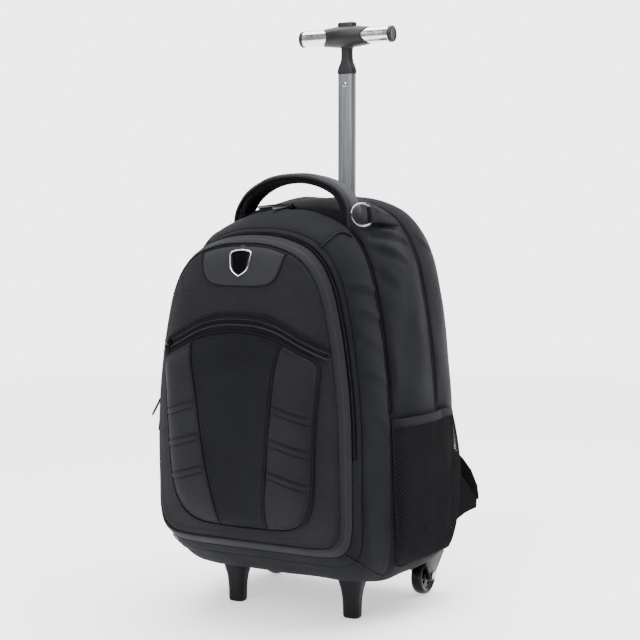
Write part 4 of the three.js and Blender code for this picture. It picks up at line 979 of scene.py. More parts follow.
def side_relief(x, z, distance, y):
    """Pairs of sewn lines with padding that stands up between them."""
    across = np.abs(x)
    lift = pocket_relief(x, z, distance, y, 0.35, (60, 43))
    ends = np.clip((across - panel_half(z) - 2.5) / 3, 0, 1) * np.clip(distance / 3, 0, 1)
    for up, drop in QUILT_ROWS:
        at = POCKET_BASE + up * POCKET_HEIGHT
        inner_x = panel_half(np.full_like(z, at)) + 2
        below = at - (across - inner_x) / (POCKET_HALF - inner_x) * drop * POCKET_HEIGHT - z
        lift += ends * (groove(below, 0.9, 1.5) + groove(below - 8, 0.9, 1.5)
                        + bump_at(below - 4, 2.6, 1.0) + bump_at(below + 4.5, 3, 0.45))
    return lift


def add_pocket():
    on_panel = np.abs(pocket_edge[:, 0]) <= panel_half(pocket_edge[:, 1])
    upper = pocket_edge[:, 1] > 250
    top, base = pocket_edge[on_panel & upper], pocket_edge[on_panel & ~upper]
    top, base = top[np.argsort(-top[:, 0])], base[np.argsort(base[:, 0])]
    line_z = np.linspace(base[-1, 1] + 0.5, top[0, 1] - 0.5, 50)
    line = np.stack([panel_half(line_z), line_z], 1)
    centre = np.vstack([base, line, top, (line * (-1, 1))[::-1]])
    middle = cut_panel("pocket_middle_panel", centre, pocket_y, centre_relief)
    finish_piece(middle, panel_cloth, stands_for=("organiser_centre",))
    whole = pocket_half_line + (0, POCKET_BASE)
    side_edge = whole[whole[:, 0] >= panel_half(whole[:, 1])]
    inner_z = np.linspace(side_edge[-1, 1] - 0.5, side_edge[0, 1] + 0.5, 50)
    side_outline = np.vstack([side_edge, np.stack([panel_half(inner_z) + 0.4, inner_z], 1)])
    for name, flip in SIDES:
        side = cut_panel(f"pocket_{name}_panel", side_outline * (flip, 1), pocket_y, side_relief)
        finish_piece(side, twill, stands_for=(f"organiser_side_{name}",))
        path = on_face((line + (0.2, 0)) * (flip, 1), 0.1, pocket_y)
        finish_piece(cord(f"pocket_{name}_seam_cord", spline(path, 120), 1.0), piping)
    path = spline(on_face(pocket_edge, 3.2)[::4], 420, closed=True)[:-1]
    finish_piece(cord("pocket_edge_piping", path, 1.5, closed=True), piping)
    ring = (pocket_edge - (0, POCKET_MIDDLE)) * 0.955 + (0, POCKET_MIDDLE)
    normal = np.tile((0.0, -1.0, 0.05), (len(ring), 1))
    stitch("pocket_stitches", on_face(ring, 0.1, pocket_y), normal)


ARCH_ROWS = [
    # across, up
    (0.00, 1.022), (0.28, 1.014), (0.52, 0.985), (0.80, 0.925), (1.10, 0.865),
]


def arch_line(grow, count=200, reach=1.0):
    right = [(a * POCKET_HALF, POCKET_BASE + up * POCKET_HEIGHT + 3 + grow) for a, up in ARCH_ROWS]
    rows = [(-x, z) for x, z in right[:0:-1]] + right
    line = spline(rows, count)
    return line[np.abs(line[:, 0]) <= reach * POCKET_HALF * 1.1]


def on_face(line, lift, depth=face_y):
    """A flat line laid on the front, less a lift towards the viewer."""
    return np.stack([line[:, 0], depth(line[:, 0], line[:, 1]) - lift, line[:, 1]], 1)


def arch_relief(x, z, distance, y):
    return 1.6 - 1.2 * np.exp(-distance / 1.2)


def add_arch_zip():
    tape = np.vstack([arch_line(-0.5), arch_line(12.5)[::-1]])
    o = cut_panel("arch_zip_tape", tape, face_y, arch_relief, cell=1.2, wall=2.0)
    finish_piece(o, zip_flap, stands_for=("arch_zip",))
    path = on_face(arch_line(4.6, 500, 0.9), 1.3)
    normal = np.tile((0.0, -1.0, 0.03), (len(path), 1))
    teeth = blocks("arch_zip_teeth", path, normal, (1.25, 1.7, 1.2), 2.0, stagger=0.3)
    finish_piece(teeth, zip_teeth)
    for name, grow, lift, radius, finish in (("lower_cord", -0.3, 1.9, 1.1, smooth_panel),
                                             ("upper_cord", 12.6, 1.2, 1.0, piping),
                                             ("lower_edge", 3.2, 1.5, 0.55, piping),
                                             ("upper_edge", 6.3, 1.9, 0.6, smooth_panel)):
        finish_piece(cord(f"arch_zip_{name}", on_face(arch_line(grow, 220), lift), radius), finish)


BADGE_PANEL_ROWS = np.array([
    # out, up
    (0.00, 1.80), (0.50, 1.76), (0.95, 1.56), (1.18, 1.24), (1.16, 1.00), (1.04, 0.74), (1.00, 0.52),
    (0.92, 0.26), (0.76, 0.08), (0.40, 0.00),
])
BADGE_PANEL_HALF, BADGE_PANEL_DROP = 53, 46


def badge_panel_relief(x, z, distance, y):
    return 1.7 - 1.5 * np.exp(-distance / 1.0) + 0.25 * waves(np.stack([x, y, z], -1), 60, 47)


def add_badge_panel():
    base = box_of("badge_panel")[0][2]
    curve = spline(BADGE_PANEL_ROWS * (BADGE_PANEL_HALF, BADGE_PANEL_DROP) + (0, base), 60)
    outline = np.vstack([curve, curve[:0:-1] * (-1, 1)])
    share = polar_share(outline[:, 0], outline[:, 1], FACE_MIDDLE, EDGE_ANGLE, EDGE_REACH)
    shrink = np.minimum(1, 0.955 / share)[:, None]
    outline = (outline - (0, FACE_MIDDLE)) * shrink + (0, FACE_MIDDLE)
    o = cut_panel("badge_panel_cloth", outline, face_y, badge_panel_relief, cell=1.3, wall=2.4)
    finish_piece(o, smooth_panel, stands_for=("badge_panel",))
    finish_piece(cord("badge_panel_piping", on_face(outline[1:-1], 0.9), 0.8, 6), piping)


BADGE_ROWS = [(0.62, 1.00), (1.00, 0.92), (0.94, 0.50), (0.70, 0.22), (0.00, 0.00)]


def badge_frame():
    """Middle of the badge on the face, with its across, up and outward directions."""
    x, _, z = sum(box_of("badge_rim")) / 2
    across = np.array([1.0, 0, 0])
    up = unit(np.array([0, face_y(x, z + 16) - face_y(x, z - 16), 32.0]))
    return np.array([x, float(face_y(x, z)), z]), across, up, np.cross(across, up)


def shield(width, height):
    right = [(out * width / 2, (up - 0.5) * height) for out, up in BADGE_ROWS]
    half = spline([(0.0, 0.5 * height + 0.8), right[0]], 8)
    outline = np.vstack([half[:-1], spline(right, 80)])
    return np.vstack([outline, outline[-2:0:-1] * (-1, 1)])


BADGE_WIDTH, BADGE_HEIGHT, BADGE_FACE_INSET = 28, 32, 1.85
RIM_ROWS = [
    # inset, lift
    (0, 0.4), (0, 2.2), (0.25, 2.8), (0.7, 3.1), (1.15, 3.0), (1.5, 2.6), (1.7, 2.0), (1.8, 0.6),
]
BADGE_FACE_ROWS = [
    # share, lift
    (0.0, 2.15), (0.3, 2.1), (0.6, 2.0), (0.82, 1.8), (0.94, 1.5), (1.0, 1.0), (1.0, 0.3), (0.0, 0.3),
]


def add_badge():
    """A bare black shield in a rounded chrome rim."""
    middle, across, up, out = badge_frame()
    loop = shield(BADGE_WIDTH, BADGE_HEIGHT)

    def at(inset, share, lift):
        flat = loop * [(size - 2 * inset) / size * share for size in (BADGE_WIDTH, BADGE_HEIGHT)]
        return middle + flat[:, :1] * across + flat[:, 1:] * up + lift * out

    rim = loft("badge_rim_rounded", [at(inset, 1, lift) for inset, lift in RIM_ROWS], closed=True, angle=50)
    finish_piece(rim, chrome, stands_for=("badge_rim",))
    face = loft("badge_face_bare", [at(BADGE_FACE_INSET, share, lift) for share, lift in BADGE_FACE_ROWS])
    finish_piece(face, badge_black, stands_for=("badge_face",))


# Carry handle: a padded strap arched over the top, smooth above and ribbed net below

HANDLE_ROWS = np.array([
    # across, up, forward
    (-1.01, -0.34, 0.20), (-1.00, -0.06, 0.18), (-0.96, 0.24, 0.10), (-0.80, 0.60, 0.02), (-0.45, 0.90, 0.00),
    (0.00, 1.00, 0.00), (0.46, 0.91, 0.00), (0.82, 0.64, 0.02), (0.98, 0.27, 0.10), (1.00, -0.06, 0.18),
    (0.99, -0.34, 0.20),
])
HANDLE_HALF, HANDLE_RISE, HANDLE_Y, HANDLE_SINK = 77, 50, -131, 15.5
HANDLE_WIDTH, HANDLE_NARROWING, HANDLE_FORWARD = 35, 11, -35
COVER_RISE, PAD_DROP = 6.0, 6.0


def handle_path(count):
    """The handle's middle line, its side and outward directions, half its width and the share along it."""
    foot = float(top_at(HANDLE_Y)) - HANDLE_SINK
    rows = HANDLE_ROWS * (HANDLE_HALF, HANDLE_RISE, HANDLE_FORWARD) + (0, foot, HANDLE_Y)
    path = spline(rows[:, (0, 2, 1)], count)
    along = unit(np.gradient(path, axis=0))
    side = np.tile((0.0, 1.0, 0.0), (count, 1))
    side = unit(side - (side * along).sum(1, keepdims=True) * along)
    out = np.cross(side, along)
    out *= np.where(out[count // 2, 2] > 0, 1, -1)
    share = np.linspace(-1, 1, count)
    return path, side, out, (HANDLE_WIDTH - HANDLE_NARROWING * share ** 6) / 2, share


def handle_section(name, arc, count=170):
    """A loft of cross sections; arc gives across and up for a half width, row by row."""
    rows = []
    for p, s, o, half, t in zip(*handle_path(count)):
        flat = arc(half, t)
        rows.append(p + flat[:, :1] * s + flat[:, 1:] * o)
    return loft(name, rows, angle=45)


HALF_TURN = np.linspace(0, np.pi, 25)


def oval(half, power):
    """Places across half a flattened round."""
    return half * np.sign(np.cos(HALF_TURN)) * np.abs(np.cos(HALF_TURN)) ** power


def flat_side(half, inset, up):
    """The flat side that closes a half round."""
    row = np.linspace(-half + inset, half - inset, 9)[1:-1]
    return np.stack([row, np.full(7, up)], 1)


def cover_section(half, t):
    across = oval(half, 0.75)
    rise = COVER_RISE * np.abs(np.sin(HALF_TURN)) ** 0.55
    rise = rise - 0.336 * np.exp(-((np.abs(across) - half + 3.6) / 0.8) ** 2)
    rise = rise + 0.25 * math.sin(t * 19) * np.sin(HALF_TURN)
    return np.vstack([np.stack([across, rise], 1), flat_side(half, 0.2, 0.15)])


def pad_section(half, t):
    ribs = 0.5 * np.abs(math.sin(t * 62))
    deep = PAD_DROP + 3.0 * min(1, 1.3 * abs(t)) ** 2 + 4.0 * max(0.0, t) + ribs
    drop = -deep * np.abs(np.sin(HALF_TURN)) ** 0.6
    return np.vstack([np.stack([oval(half - 1.6, 0.7), drop - 0.15], 1), flat_side(half, 2, -0.15)])


def add_handle():
    o = handle_section("handle_cover", cover_section)
    finish_piece(o, smooth_panel, stands_for=("carry_handle_cover",))
    o = handle_section("handle_underside", pad_section, 520)
    finish_piece(o, air_mesh, stands_for=("carry_handle_pad",))
    path, side, out, half, _ = handle_path(400)
    for sign, name in ((1, "back"), (-1, "front")):
        edge = path + side * (half * sign)[:, None] + out * 0.2
        finish_piece(cord(f"handle_{name}_piping", edge, 1.5), piping)
        row = path + side * ((half - 4.2) * sign)[:, None] + out * 5.0
        stitch(f"handle_{name}_stitches", row, out + side * 0.25 * sign, (2.2, 0.5, 0.4))


# Elastic net pockets on the two sides

NET_FRONT, NET_DEPTH, NET_HEIGHT, NET_TOP, NET_PUFF, NET_RIM = -154, 152, 176, 246, 15.5, 7.5
NET_FULLNESS, NET_LEAN, NET_BACK, NET_EDGE, BINDING = 20, 9, -2, 2.2, 9
THREAD_PITCH, THREAD_WIDTH, THREAD_DEPTH = 3.3, 1.25, 0.8
BINDING_ROWS = [
    # lift, up
    (-1.7, 237.0), (-0.2, 236.6), (0.9, 237.2), (1.3, 239.5), (1.2, 243), (1.0, 245.6), (0.2, 246.6),
    (-1.0, 246.8), (-1.9, 246.0), (-2.0, 240),
]


def side_x(y, z):
    """Half width of the bag's skin at a depth and height."""
    y, z = np.broadcast_arrays(np.asarray(y, float), np.asarray(z, float))
    levels = np.linspace(0.02, 0.8, 160)
    lines = (skin(levels, one) for one in y.ravel())
    out = [np.interp(one, line[:, 2], line[:, 0]) for one, line in zip(z.ravel(), lines)]
    return np.reshape(out, y.shape)


def net_point(t, z, extra=0.0):
    """A point of the net pocket: t runs from its front edge to its rear one."""
    down = np.clip((NET_TOP - z) / NET_HEIGHT, 0, 1)
    full = np.sin(np.pi * down ** 0.8)
    front = NET_FRONT + NET_LEAN * down
    y = front + (NET_BACK + NET_FULLNESS * full - front) * t
    arc = np.sqrt(np.clip(1 - (2 * t - 1) ** 4, 0, 1))
    low = np.sqrt(np.clip(1 - np.clip((down - 0.3) / 0.7, 0, 1) ** 3, 0, 1))
    loose = 0.3 + 0.7 * np.clip(down / 0.45, 0, 1) ** 0.8
    rim = NET_EDGE + (NET_RIM - NET_EDGE) * loose * np.sqrt(np.clip(1 - (2 * t - 1) ** 10, 0, 1))
    belly = (NET_PUFF - NET_RIM) * loose * arc * low * (0.75 + 0.6 * t * full)
    return np.stack([side_x(y, z) + rim + belly + extra, y, z + 0 * y], -1)


def net_threads(name, flip):
    """Six-sided net: thin threads with three faces round the cells of a staggered grid on the pocket."""
    columns = int(NET_DEPTH / THREAD_PITCH)
    rows = int((NET_HEIGHT - BINDING) / (THREAD_PITCH * 0.85))
    table_t, table_z = np.linspace(0, 1, 40), np.linspace(NET_TOP - NET_HEIGHT, NET_TOP, 46)
    table = net_point(*np.meshgrid(table_t, table_z))

    def at(t, z):
        a = np.clip(t * 39, 0, 38.999)
        b = np.clip((z - table_z[0]) / NET_HEIGHT * 45, 0, 44.999)
        i, j = a.astype(int), b.astype(int)
        a, b = (a - i)[..., None], (b - j)[..., None]
        near = table[j, i] * (1 - a) + table[j, i + 1] * a
        far = table[j + 1, i] * (1 - a) + table[j + 1, i + 1] * a
        return near * (1 - b) + far * b

    row, column = (k.ravel() for k in np.meshgrid(np.arange(rows), np.arange(columns), indexing="ij"))
    place = column + np.where(row % 2 == 0, 0.25, 0.75)
    step = (NET_HEIGHT - BINDING) / rows
    top = NET_TOP - BINDING + 1 - row * step
    left, middle, right = (np.clip((place + shift) / (columns + 0.5), 0, 1) for shift in (-0.5, 0, 0.5))
    knee = at(middle, top - 0.32 * step)
    start = np.vstack([at(middle, top), knee, knee])
    end = np.vstack([knee, at(left, top - step), at(right, top - step)])
    run = unit(end - start)
    out = np.array([1.0, 0, 0.02])
    side = unit(np.cross(run, out)) * THREAD_WIDTH / 2
    corners = []
    for here in (start - run * 0.3, end + run * 0.3):
        corners += [here - side, here + out * THREAD_DEPTH, here + side]
    verts = np.stack(corners, 1).reshape(-1, 3) * (flip, 1, 1)
    sides = ((0, 3, 4, 1), (1, 4, 5, 2), (2, 5, 3, 0), (0, 1, 2), (3, 5, 4))
    o = mesh_piece(name, verts, [[6 * k + c for c in f] for k in range(len(start)) for f in sides])
    outward(o)
    return o


def add_net_pockets():
    t = np.linspace(0, 1, 90)
    sag = 0.9 * np.sin(np.pi * t)
    low = NET_TOP - NET_HEIGHT
    z = np.linspace(NET_TOP - 1, low, 90)
    rows = [net_point(t, up - sag, extra=lift) for lift, up in BINDING_ROWS]
    rows = np.array(rows + rows[:1]).transpose(1, 0, 2)
    line = net_point(t[2:-2], 238.6 - sag[2:-2], extra=1.35)
    loop = np.vstack([net_point(0 * t, z, extra=-0.4), net_point(t[1:-1], np.full(88, low), extra=-0.4),
                      net_point(0 * t + 1, z[::-1], extra=-0.4)])
    for name, flip in SIDES:
        mirror = (flip, 1, 1)
        net = net_threads(f"net_{name}", flip)
        finish_piece(net, net_thread, stands_for=(f"mesh_pocket_{name}",))
        o = lay(f"net_binding_{name}", capped(rows * mirror), wrap=True)
        outward(o)
        finish_piece(smooth(o, 50), binding, stands_for=(f"pocket_binding_{name}",))
        normal = np.tile((flip * 1.0, 0, 0), (len(line), 1))
        stitch(f"net_binding_stitches_{name}", line * mirror, normal, (2.1, 0.4, 0.3))
        hem = cord(f"net_hem_{name}", spline((loop * mirror)[::6], 300), 1.5, normal=(flip, 0, 0.01))
        finish_piece(hem, binding)


# Pieces copied from the frame: merged, bevelled and shaded smooth, or filled out as padding

def copy_of(node, name=None):
    """A new object from one of the frame's own meshes, with its corners merged."""
    source = nodes[node]
    o = source.copy()
    o.data = source.data.copy()
    for key in list(o.keys()):
        del o[key]
    bpy.context.collection.objects.link(o)
    o.parent = None
    o.matrix_world = source.matrix_world
    pick(o)
    bpy.ops.object.transform_apply(location=True, rotation=True, scale=True)
    o.name = o.data.name = name or node + "_finished"
    weld(o, 1e-5)
    return o


def moulded(node, material, bevel=0.5, angle=30, segments=2):
    """A hard piece of the bag with its edges rounded off."""
    o = copy_of(node)
    modify(o, "BEVEL", width=bevel * MM, segments=segments, limit_method="ANGLE",
           angle_limit=math.radians(angle), harden_normals=False, use_clamp_overlap=True)
    return finish_piece(smooth(o, 35), material, stands_for=(node,))


CLOTH_FRAMES = 20


def stuffed(o, voxel, pressure, cap):
    """Padding: an even mesh blown up like cloth, with every point held within a cap of its start."""
    modify(o, "REMESH", mode="VOXEL", voxel_size=voxel * MM)
    start = np.array([v.co for v in o.data.vertices])
    pick(o)
    m = o.modifiers.new("cloth", "CLOTH")
    m.settings.use_pressure = True
    m.settings.uniform_pressure_force = pressure
    m.settings.effector_weights.gravity = 0
    m.settings.quality = 4
    m.settings.tension_stiffness = m.settings.compression_stiffness = 12
    m.settings.bending_stiffness = 0.6
    m.point_cache.frame_start, m.point_cache.frame_end = 1, CLOTH_FRAMES
    for step in range(1, CLOTH_FRAMES + 1):
        bpy.context.scene.frame_set(step)
    bpy.ops.object.modifier_apply(modifier=m.name)
    bpy.context.scene.frame_set(1)
    moved = np.array([v.co for v in o.data.vertices]) - start
    length = np.linalg.norm(moved, axis=1, keepdims=True)
    held = start + moved * np.minimum(1, cap * MM / np.maximum(length, 1e-9))
    o.data.vertices.foreach_set("co", held.ravel())
    o.data.update()
    return o


def surface_line(o, line):
    """A line dropped from behind onto a piece: its places in millimetres and their normals."""
    graph = bpy.context.evaluated_depsgraph_get()
    way, reach = Vector((0, -1, 0)), 0.09
    points, normals = [], []
    for p in to_frame(line):
        start = Vector(p) - way * reach
        hit, place, normal, _ = o.ray_cast(start, way, distance=2 * reach, depsgraph=graph)
        if hit:
            points.append(to_bag(place))
            normals.append(np.array(normal))
    return np.array(points), np.array(normals)


def press_channels(o, lines, width, depth):
    """Sewn channels pressed into padding along lines of places."""
    places = np.vstack([spline(line, 200) for line in lines])
    co = np.array([v.co for v in o.data.vertices])
    o.data.update()
    normal = np.array([v.normal for v in o.data.vertices])
    local = to_bag(co)
    near = np.full(len(co), 1e9)
    for k in range(0, len(places), 200):
        block = places[k:k + 200]
        near = np.minimum(near, np.sqrt(((local[:, None] - block[None]) ** 2).sum(-1)).min(1))
    press = depth * np.exp(-(near / width) ** 2)
    o.data.vertices.foreach_set("co", (co - normal * (press * MM)[:, None]).ravel())
    o.data.update()


WING_ROOT_Y, WING_ROOT_LOW, WING_ROOT_HIGH, WING_THICKNESS = 18.0, 84.0, 178.0, 3.0
WING_TIP_LOW, WING_TIP_HIGH = np.array([162.0, 48.0, 109.0]), np.array([163.0, 48.0, 121.0])


def add_wing(name, flip):
    """The cloth wing that joins the strap's webbing to the bag's lower corner."""
    low, high = (np.array([float(side_x(WING_ROOT_Y - 2, z)) - 4, WING_ROOT_Y, z])
                 for z in (WING_ROOT_LOW, WING_ROOT_HIGH))
    share = np.linspace(0, 1, 30)
    rows = []
    for t in share:
        a = low + (WING_TIP_LOW - low) * t + (0, 0, 4 * math.sin(math.pi * t))
        b = high + (WING_TIP_HIGH - high) * t
        bow = 1.4 * math.sin(math.pi * t) * np.sin(np.pi * share)
        rows.append(a + (b - a) * share[:, None] + np.stack([bow, bow, 0 * bow], 1))
    o = lay(f"wing_{name}", np.array(rows) * (flip, 1, 1))
    thicken(o, WING_THICKNESS, 0)
    modify(o, "BEVEL", width=0.9 * MM, segments=3, limit_method="ANGLE", angle_limit=math.radians(50))
    finish_piece(smooth(o, 50), cloth, stands_for=(f"strap_wing_{name}",))


STRAP_LINE = [
    # across, back, up
    (50, 40, 456), (58, 48, 436), (73, 63, 366), (88, 61, 287), (97, 55, 232),
]


def add_back_pad():
    """Back padding with sewn channels."""
    pad = stuffed(copy_of("back_pad", "back_padding"), 4.5, 3.5, 5)
    modify(pad, "SUBSURF", levels=1)
    low, high = box_of("back_pad")
    y = high[1] - 1
    channels = [[(x * 1.1, y, low[2] + 14), (x * 0.8, y, (low[2] + high[2]) / 2), (x, y, high[2] - 16)]
                for x in (-36, 36)]
    channels += [[(side * 34, y, z), (side * 64, y, z + 8), (side * 92, y, z + 6)]
                 for z in (200, 300) for side in (-1, 1)]
    channels.append([(-30, y, 250), (0, y, 244), (30, y, 250)])
    press_channels(pad, channels, 3.2, 3.4)
    finish_piece(smooth(pad, 60), air_mesh, stands_for=("back_pad",))


def add_strap(name, flip):
    """A padded shoulder strap with two rows of stitches, its buckle and its webbing."""
    strap = stuffed(copy_of(f"shoulder_strap_{name}", f"padded_strap_{name}"), 3.4, 3.0, 3.5)
    modify(strap, "SUBSURF", levels=1)
    finish_piece(smooth(strap, 60), cloth, stands_for=(f"shoulder_strap_{name}",))
    middle = spline(np.array(STRAP_LINE) * (flip, 1, 1), 160)[12:-4]
    share = np.linspace(0, 1, len(middle))
    for shift in (-21, 21):
        aside = np.stack([shift * (1 - 0.32 * share ** 2), 0 * share, 0 * share + 0.22 * shift * flip], 1)
        points, normals = surface_line(strap, middle + aside + (0, 40, 0))
        edge = "outer" if shift * flip > 0 else "inner"
        stitch(f"strap_stitches_{name}_{edge}", points, normals, (2.4, 0.5, 0.4), 3.6)
    moulded(f"strap_buckle_{name}", plastic, bevel=0.6)
    moulded(f"strap_webbing_{name}", webbing, bevel=0.35, angle=50)


def add_back():
    add_back_pad()
    for name, flip in SIDES:
        add_strap(name, flip)
        add_wing(name, flip)


RING_WIRE, RING_HALF_WIDTH, RING_HALF_HEIGHT, TAB_HALF = 1.3, 13.0, 13.6, 9
RING_CENTRE = np.array([91.5, -137.0, 487.0])
RING_ACROSS, RING_UP = np.array([0.42, 0.90, 0.0]), np.array([-0.10, 0.05, 0.99])
TAB_END = (0.851, -64.0)


def add_ring():
    """D ring that stands on the right shoulder, and the folded webbing that holds it from behind."""
    turn = np.linspace(0, 2 * np.pi, 161)[:-1]
    flat = np.clip(1.25 * np.cos(turn), -2, 0.86)
    path = (RING_CENTRE + flat[:, None] * RING_HALF_WIDTH * RING_ACROSS
            + np.sin(turn)[:, None] * RING_HALF_HEIGHT * RING_UP)
    normal = np.cross(RING_ACROSS, RING_UP)
    o = cord("ring_wire", path, RING_WIRE, 14, closed=True, normal=normal)
    finish_piece(o, dark_chrome, stands_for=("d_ring",))
    eye = RING_CENTRE + RING_ACROSS * RING_HALF_WIDTH * 0.86
    last = skin(*TAB_END, 1.6)
    before = skin(TAB_END[0] + 0.004, TAB_END[1] - 14, 2.4)
    between = (eye * 0.55 + before * 0.45) + (0, 0, 1.2)
    middle = spline([eye - RING_ACROSS * 4, eye, between, before, last], 120)
    laid = unit(np.cross(skin_normal(*TAB_END), last - before))
    laid *= np.sign(laid @ RING_UP)
    along = unit(np.gradient(middle, axis=0))
    wide = RING_UP + (laid - RING_UP) * np.clip(np.linspace(0, 1.2, 120), 0, 1)[:, None]
    wide = unit(wide - (wide * along).sum(1, keepdims=True) * along)
    thick = np.cross(along, wide)
    start = int(np.argmin(np.linalg.norm(middle - eye, axis=1)))
    rings = []
    bend = [(start, 2.5 * math.cos(a), 2.5 * math.sin(a))
            for a in np.linspace(math.pi / 2, math.pi * 1.5, 16)]
    upper = [(k, 0.0, 0.9 + 1.6 * math.exp(-(k - start) / 9)) for k in range(119, start, -3)]
    lower = [(k, 0.0, -0.9 - 1.6 * math.exp(-(k - start) / 9)) for k in range(start + 3, 120, 3)]
    for k, back, off in upper + bend + lower:
        place = middle[k] + along[k] * back + thick[k] * off
        way = along[k] * back + thick[k] * off if (k == start) else thick[k] * np.sign(off)
        way = unit(way)
        rings.append([place + wide[k] * a + way * h for a, h in
                      ((-TAB_HALF, -0.3), (-TAB_HALF, 0.3), (-TAB_HALF + 0.6, 0.65), (TAB_HALF - 0.6, 0.65),
                       (TAB_HALF, 0.3), (TAB_HALF, -0.3), (TAB_HALF - 0.6, -0.65), (-TAB_HALF + 0.6, -0.65))])
    finish_piece(loft("ring_tab_folded", rings, angle=50), webbing, stands_for=("ring_tab",))
    upwards = np.sign(thick[90] @ skin_normal(*TAB_END))
    for across, name in ((-7, "a"), (7, "b")):
        sewn = slice(start + 30, 116)
        row = middle[sewn] + wide[sewn] * across + thick[sewn] * 1.65 * upwards
        stitch(f"ring_tab_stitches_{name}", row, thick[sewn] * upwards, (2.2, 0.6, 0.5), 3.2)


PULLS = [
    # name, place on the zip, outward, hanging
    ("top_left", (MIDDLE_ZIP_Y, -14, None), (0.3, -0.32, 0.9), (-0.62, -0.72, -0.3)),
    ("top_right", (MIDDLE_ZIP_Y, 3, None), (0.3, -0.32, 0.9), (-0.42, -0.85, -0.3)),
    ("side_upper", (FRONT_ZIP_Y, None, 0.477), (-0.86, -0.3, 0.45), (-0.42, -0.2, -0.88)),
    ("side_lower", (FRONT_ZIP_Y, None, 0.447), (-0.98, -0.3, 0.1), (-0.12, -0.1, -0.99)),
]


def pull_at(name, place, outward_way, hang):
    """A slider body with its bridge, a link and a flat ribbed blade."""
    up = Vector(outward_way).normalized()
    down = Vector(hang)
    down = (down - up * down.dot(up)).normalized()
    side = down.cross(up)
    basis = Matrix((side, down, up)).transposed().to_4x4()
    seat = Matrix.Translation(Vector(place)) @ basis

    def solid(part, rings, angle=35):
        return loft(f"{name}_{part}", [[seat @ Vector(c) for c in ring] for ring in rings], angle=angle)

    def plate(part, width, length, thick, at_y, at_z, corner, edge=0.4, taper=0.0):
        flat = rounded(width, length, corner, 6)
        flat[:, 0] *= 1 - taper * (0.5 - flat[:, 1] / length)
        rings = []
        for inset, z in ((edge, 0), (0.1, edge * 0.4), (0, edge),
                         (0, thick - edge), (0.1, thick - edge * 0.4), (edge, thick)):
            scale = ((width - 2 * inset) / width, (length - 2 * inset) / length)
            rings.append(level(flat * scale, z + at_z, y=at_y))
        return solid(part, rings)

    body = plate("body", 8.2, 9.6, 2.6, 0, 0.2, 2.2, taper=0.25)
    bridge_line = spline([(0, -3.4, 2.4), (0, -2.6, 4.4), (0, 0, 5.0), (0, 2.6, 4.4), (0, 3.4, 2.4)], 20)
    bridge = cord(f"{name}_bridge", [seat @ Vector(c) for c in bridge_line], 0.75,
                  flat=1.5, normal=tuple(side))
    link_line = spline([(1.5, 4.5, 4.0), (1.5, 2.0, 4.4), (0.9, 0.9, 4.3),
                        (-0.9, 0.9, 4.3), (-1.5, 2.0, 4.4), (-1.5, 4.5, 4.0)], 24)
    link = cord(f"{name}_link", [seat @ Vector(c) for c in link_line], 0.5, 8, normal=tuple(up))
    blade = plate("blade", 6.4, 25, 1.9, 16.2, 2.6, 1.3, edge=0.45)
    grips = [plate(f"rib_{k}", 4.2, 1.0, 0.5, 21 + 1.9 * k, 4.35, 0.4, edge=0.12) for k in range(3)]
    bpy.ops.object.select_all(action="DESELECT")
    for o in [body, bridge, link, blade] + grips:
        o.select_set(True)
    bpy.context.view_layer.objects.active = body
    bpy.ops.object.join()
    body.name = body.data.name = name
    return finish_piece(body, gunmetal)


def add_pulls():
    for name, (zip_y, x, up), outward_way, hang in PULLS:
        y = zip_y + ZIP_SLIT / 2
        if x is not None:
            line = skin(np.linspace(0.9, 1.1, 400), y, 2.2)
            z = np.interp(x, line[::-1, 0], line[::-1, 2])
        else:
            z = CLEARANCE + up * BAG_HEIGHT
            line = skin(np.linspace(1.1, 1.9, 800), y, 3.2)
            x = np.interp(-z, -line[:, 2], line[:, 0])
        o = pull_at(f"pull_{name}", (x, y, z), outward_way, hang)
        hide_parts(f"zip_pull_{name}")
    x, z = -98, 336.8
    o = pull_at("pull_arch", (x, float(face_y(x, z)) - 2.2, z), (-0.2, -1, 0), (-0.1, 0, -1))
    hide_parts("zip_pull_arch")


# Hard pieces: mast, grip, feet and wheels

MAST_Y, MAST_WIDTH, MAST_DEPTH, MAST_CORNER = -5, 24, 12, 5


def spun(name, profile, centre, closed=False, around=64, angle=35):
    """A profile of radius and place along X, turned about an axis along X."""
    turn = np.linspace(0, 2 * np.pi, around, endpoint=False)
    rings = [np.stack([np.full(around, x), radius * np.cos(turn), radius * np.sin(turn)], 1) + centre
             for radius, x in profile]
    return loft(name, rings, closed, angle)


SCREW_ROWS = [
    # radius, out
    (3.0, 0.0), (3.0, 0.5), (2.6, 0.9), (1.9, 1.05), (1.5, 1.0), (1.3, 0.3), (0.4, 0.25),
]


def add_mast():
    low, high = (corner[2] for corner in box_of("mast_tube"))
    rings = [level(rounded(MAST_WIDTH - 2 * grow, MAST_DEPTH - 2 * grow, MAST_CORNER - grow), z, y=MAST_Y)
             for grow, z in ((0, low), (0, high - 0.3), (0.3, high), (1.4, high), (1.4, low))]
    tube = loft("mast_tube_drawn", rings, closed=True)
    finish_piece(tube, aluminium, "handle", ("mast_tube",))
    low, high = box_of("mast_screw")
    middle = (low[2] + high[2]) / 2
    turn = np.linspace(0, 2 * np.pi, 32, endpoint=False)
    rings = [np.stack([radius * np.cos(turn), np.full(32, high[1] - out),
                       radius * np.sin(turn) + middle], 1) for radius, out in SCREW_ROWS]
    finish_piece(loft("mast_screw_head", rings), chrome, "handle", ("mast_screw",))
    collar = moulded("mast_collar", plastic, bevel=0.6)
    for corner in collar.data.vertices:
        corner.co.z -= 0.004
    moulded("mast_sleeve", grey_plastic, bevel=0.3)


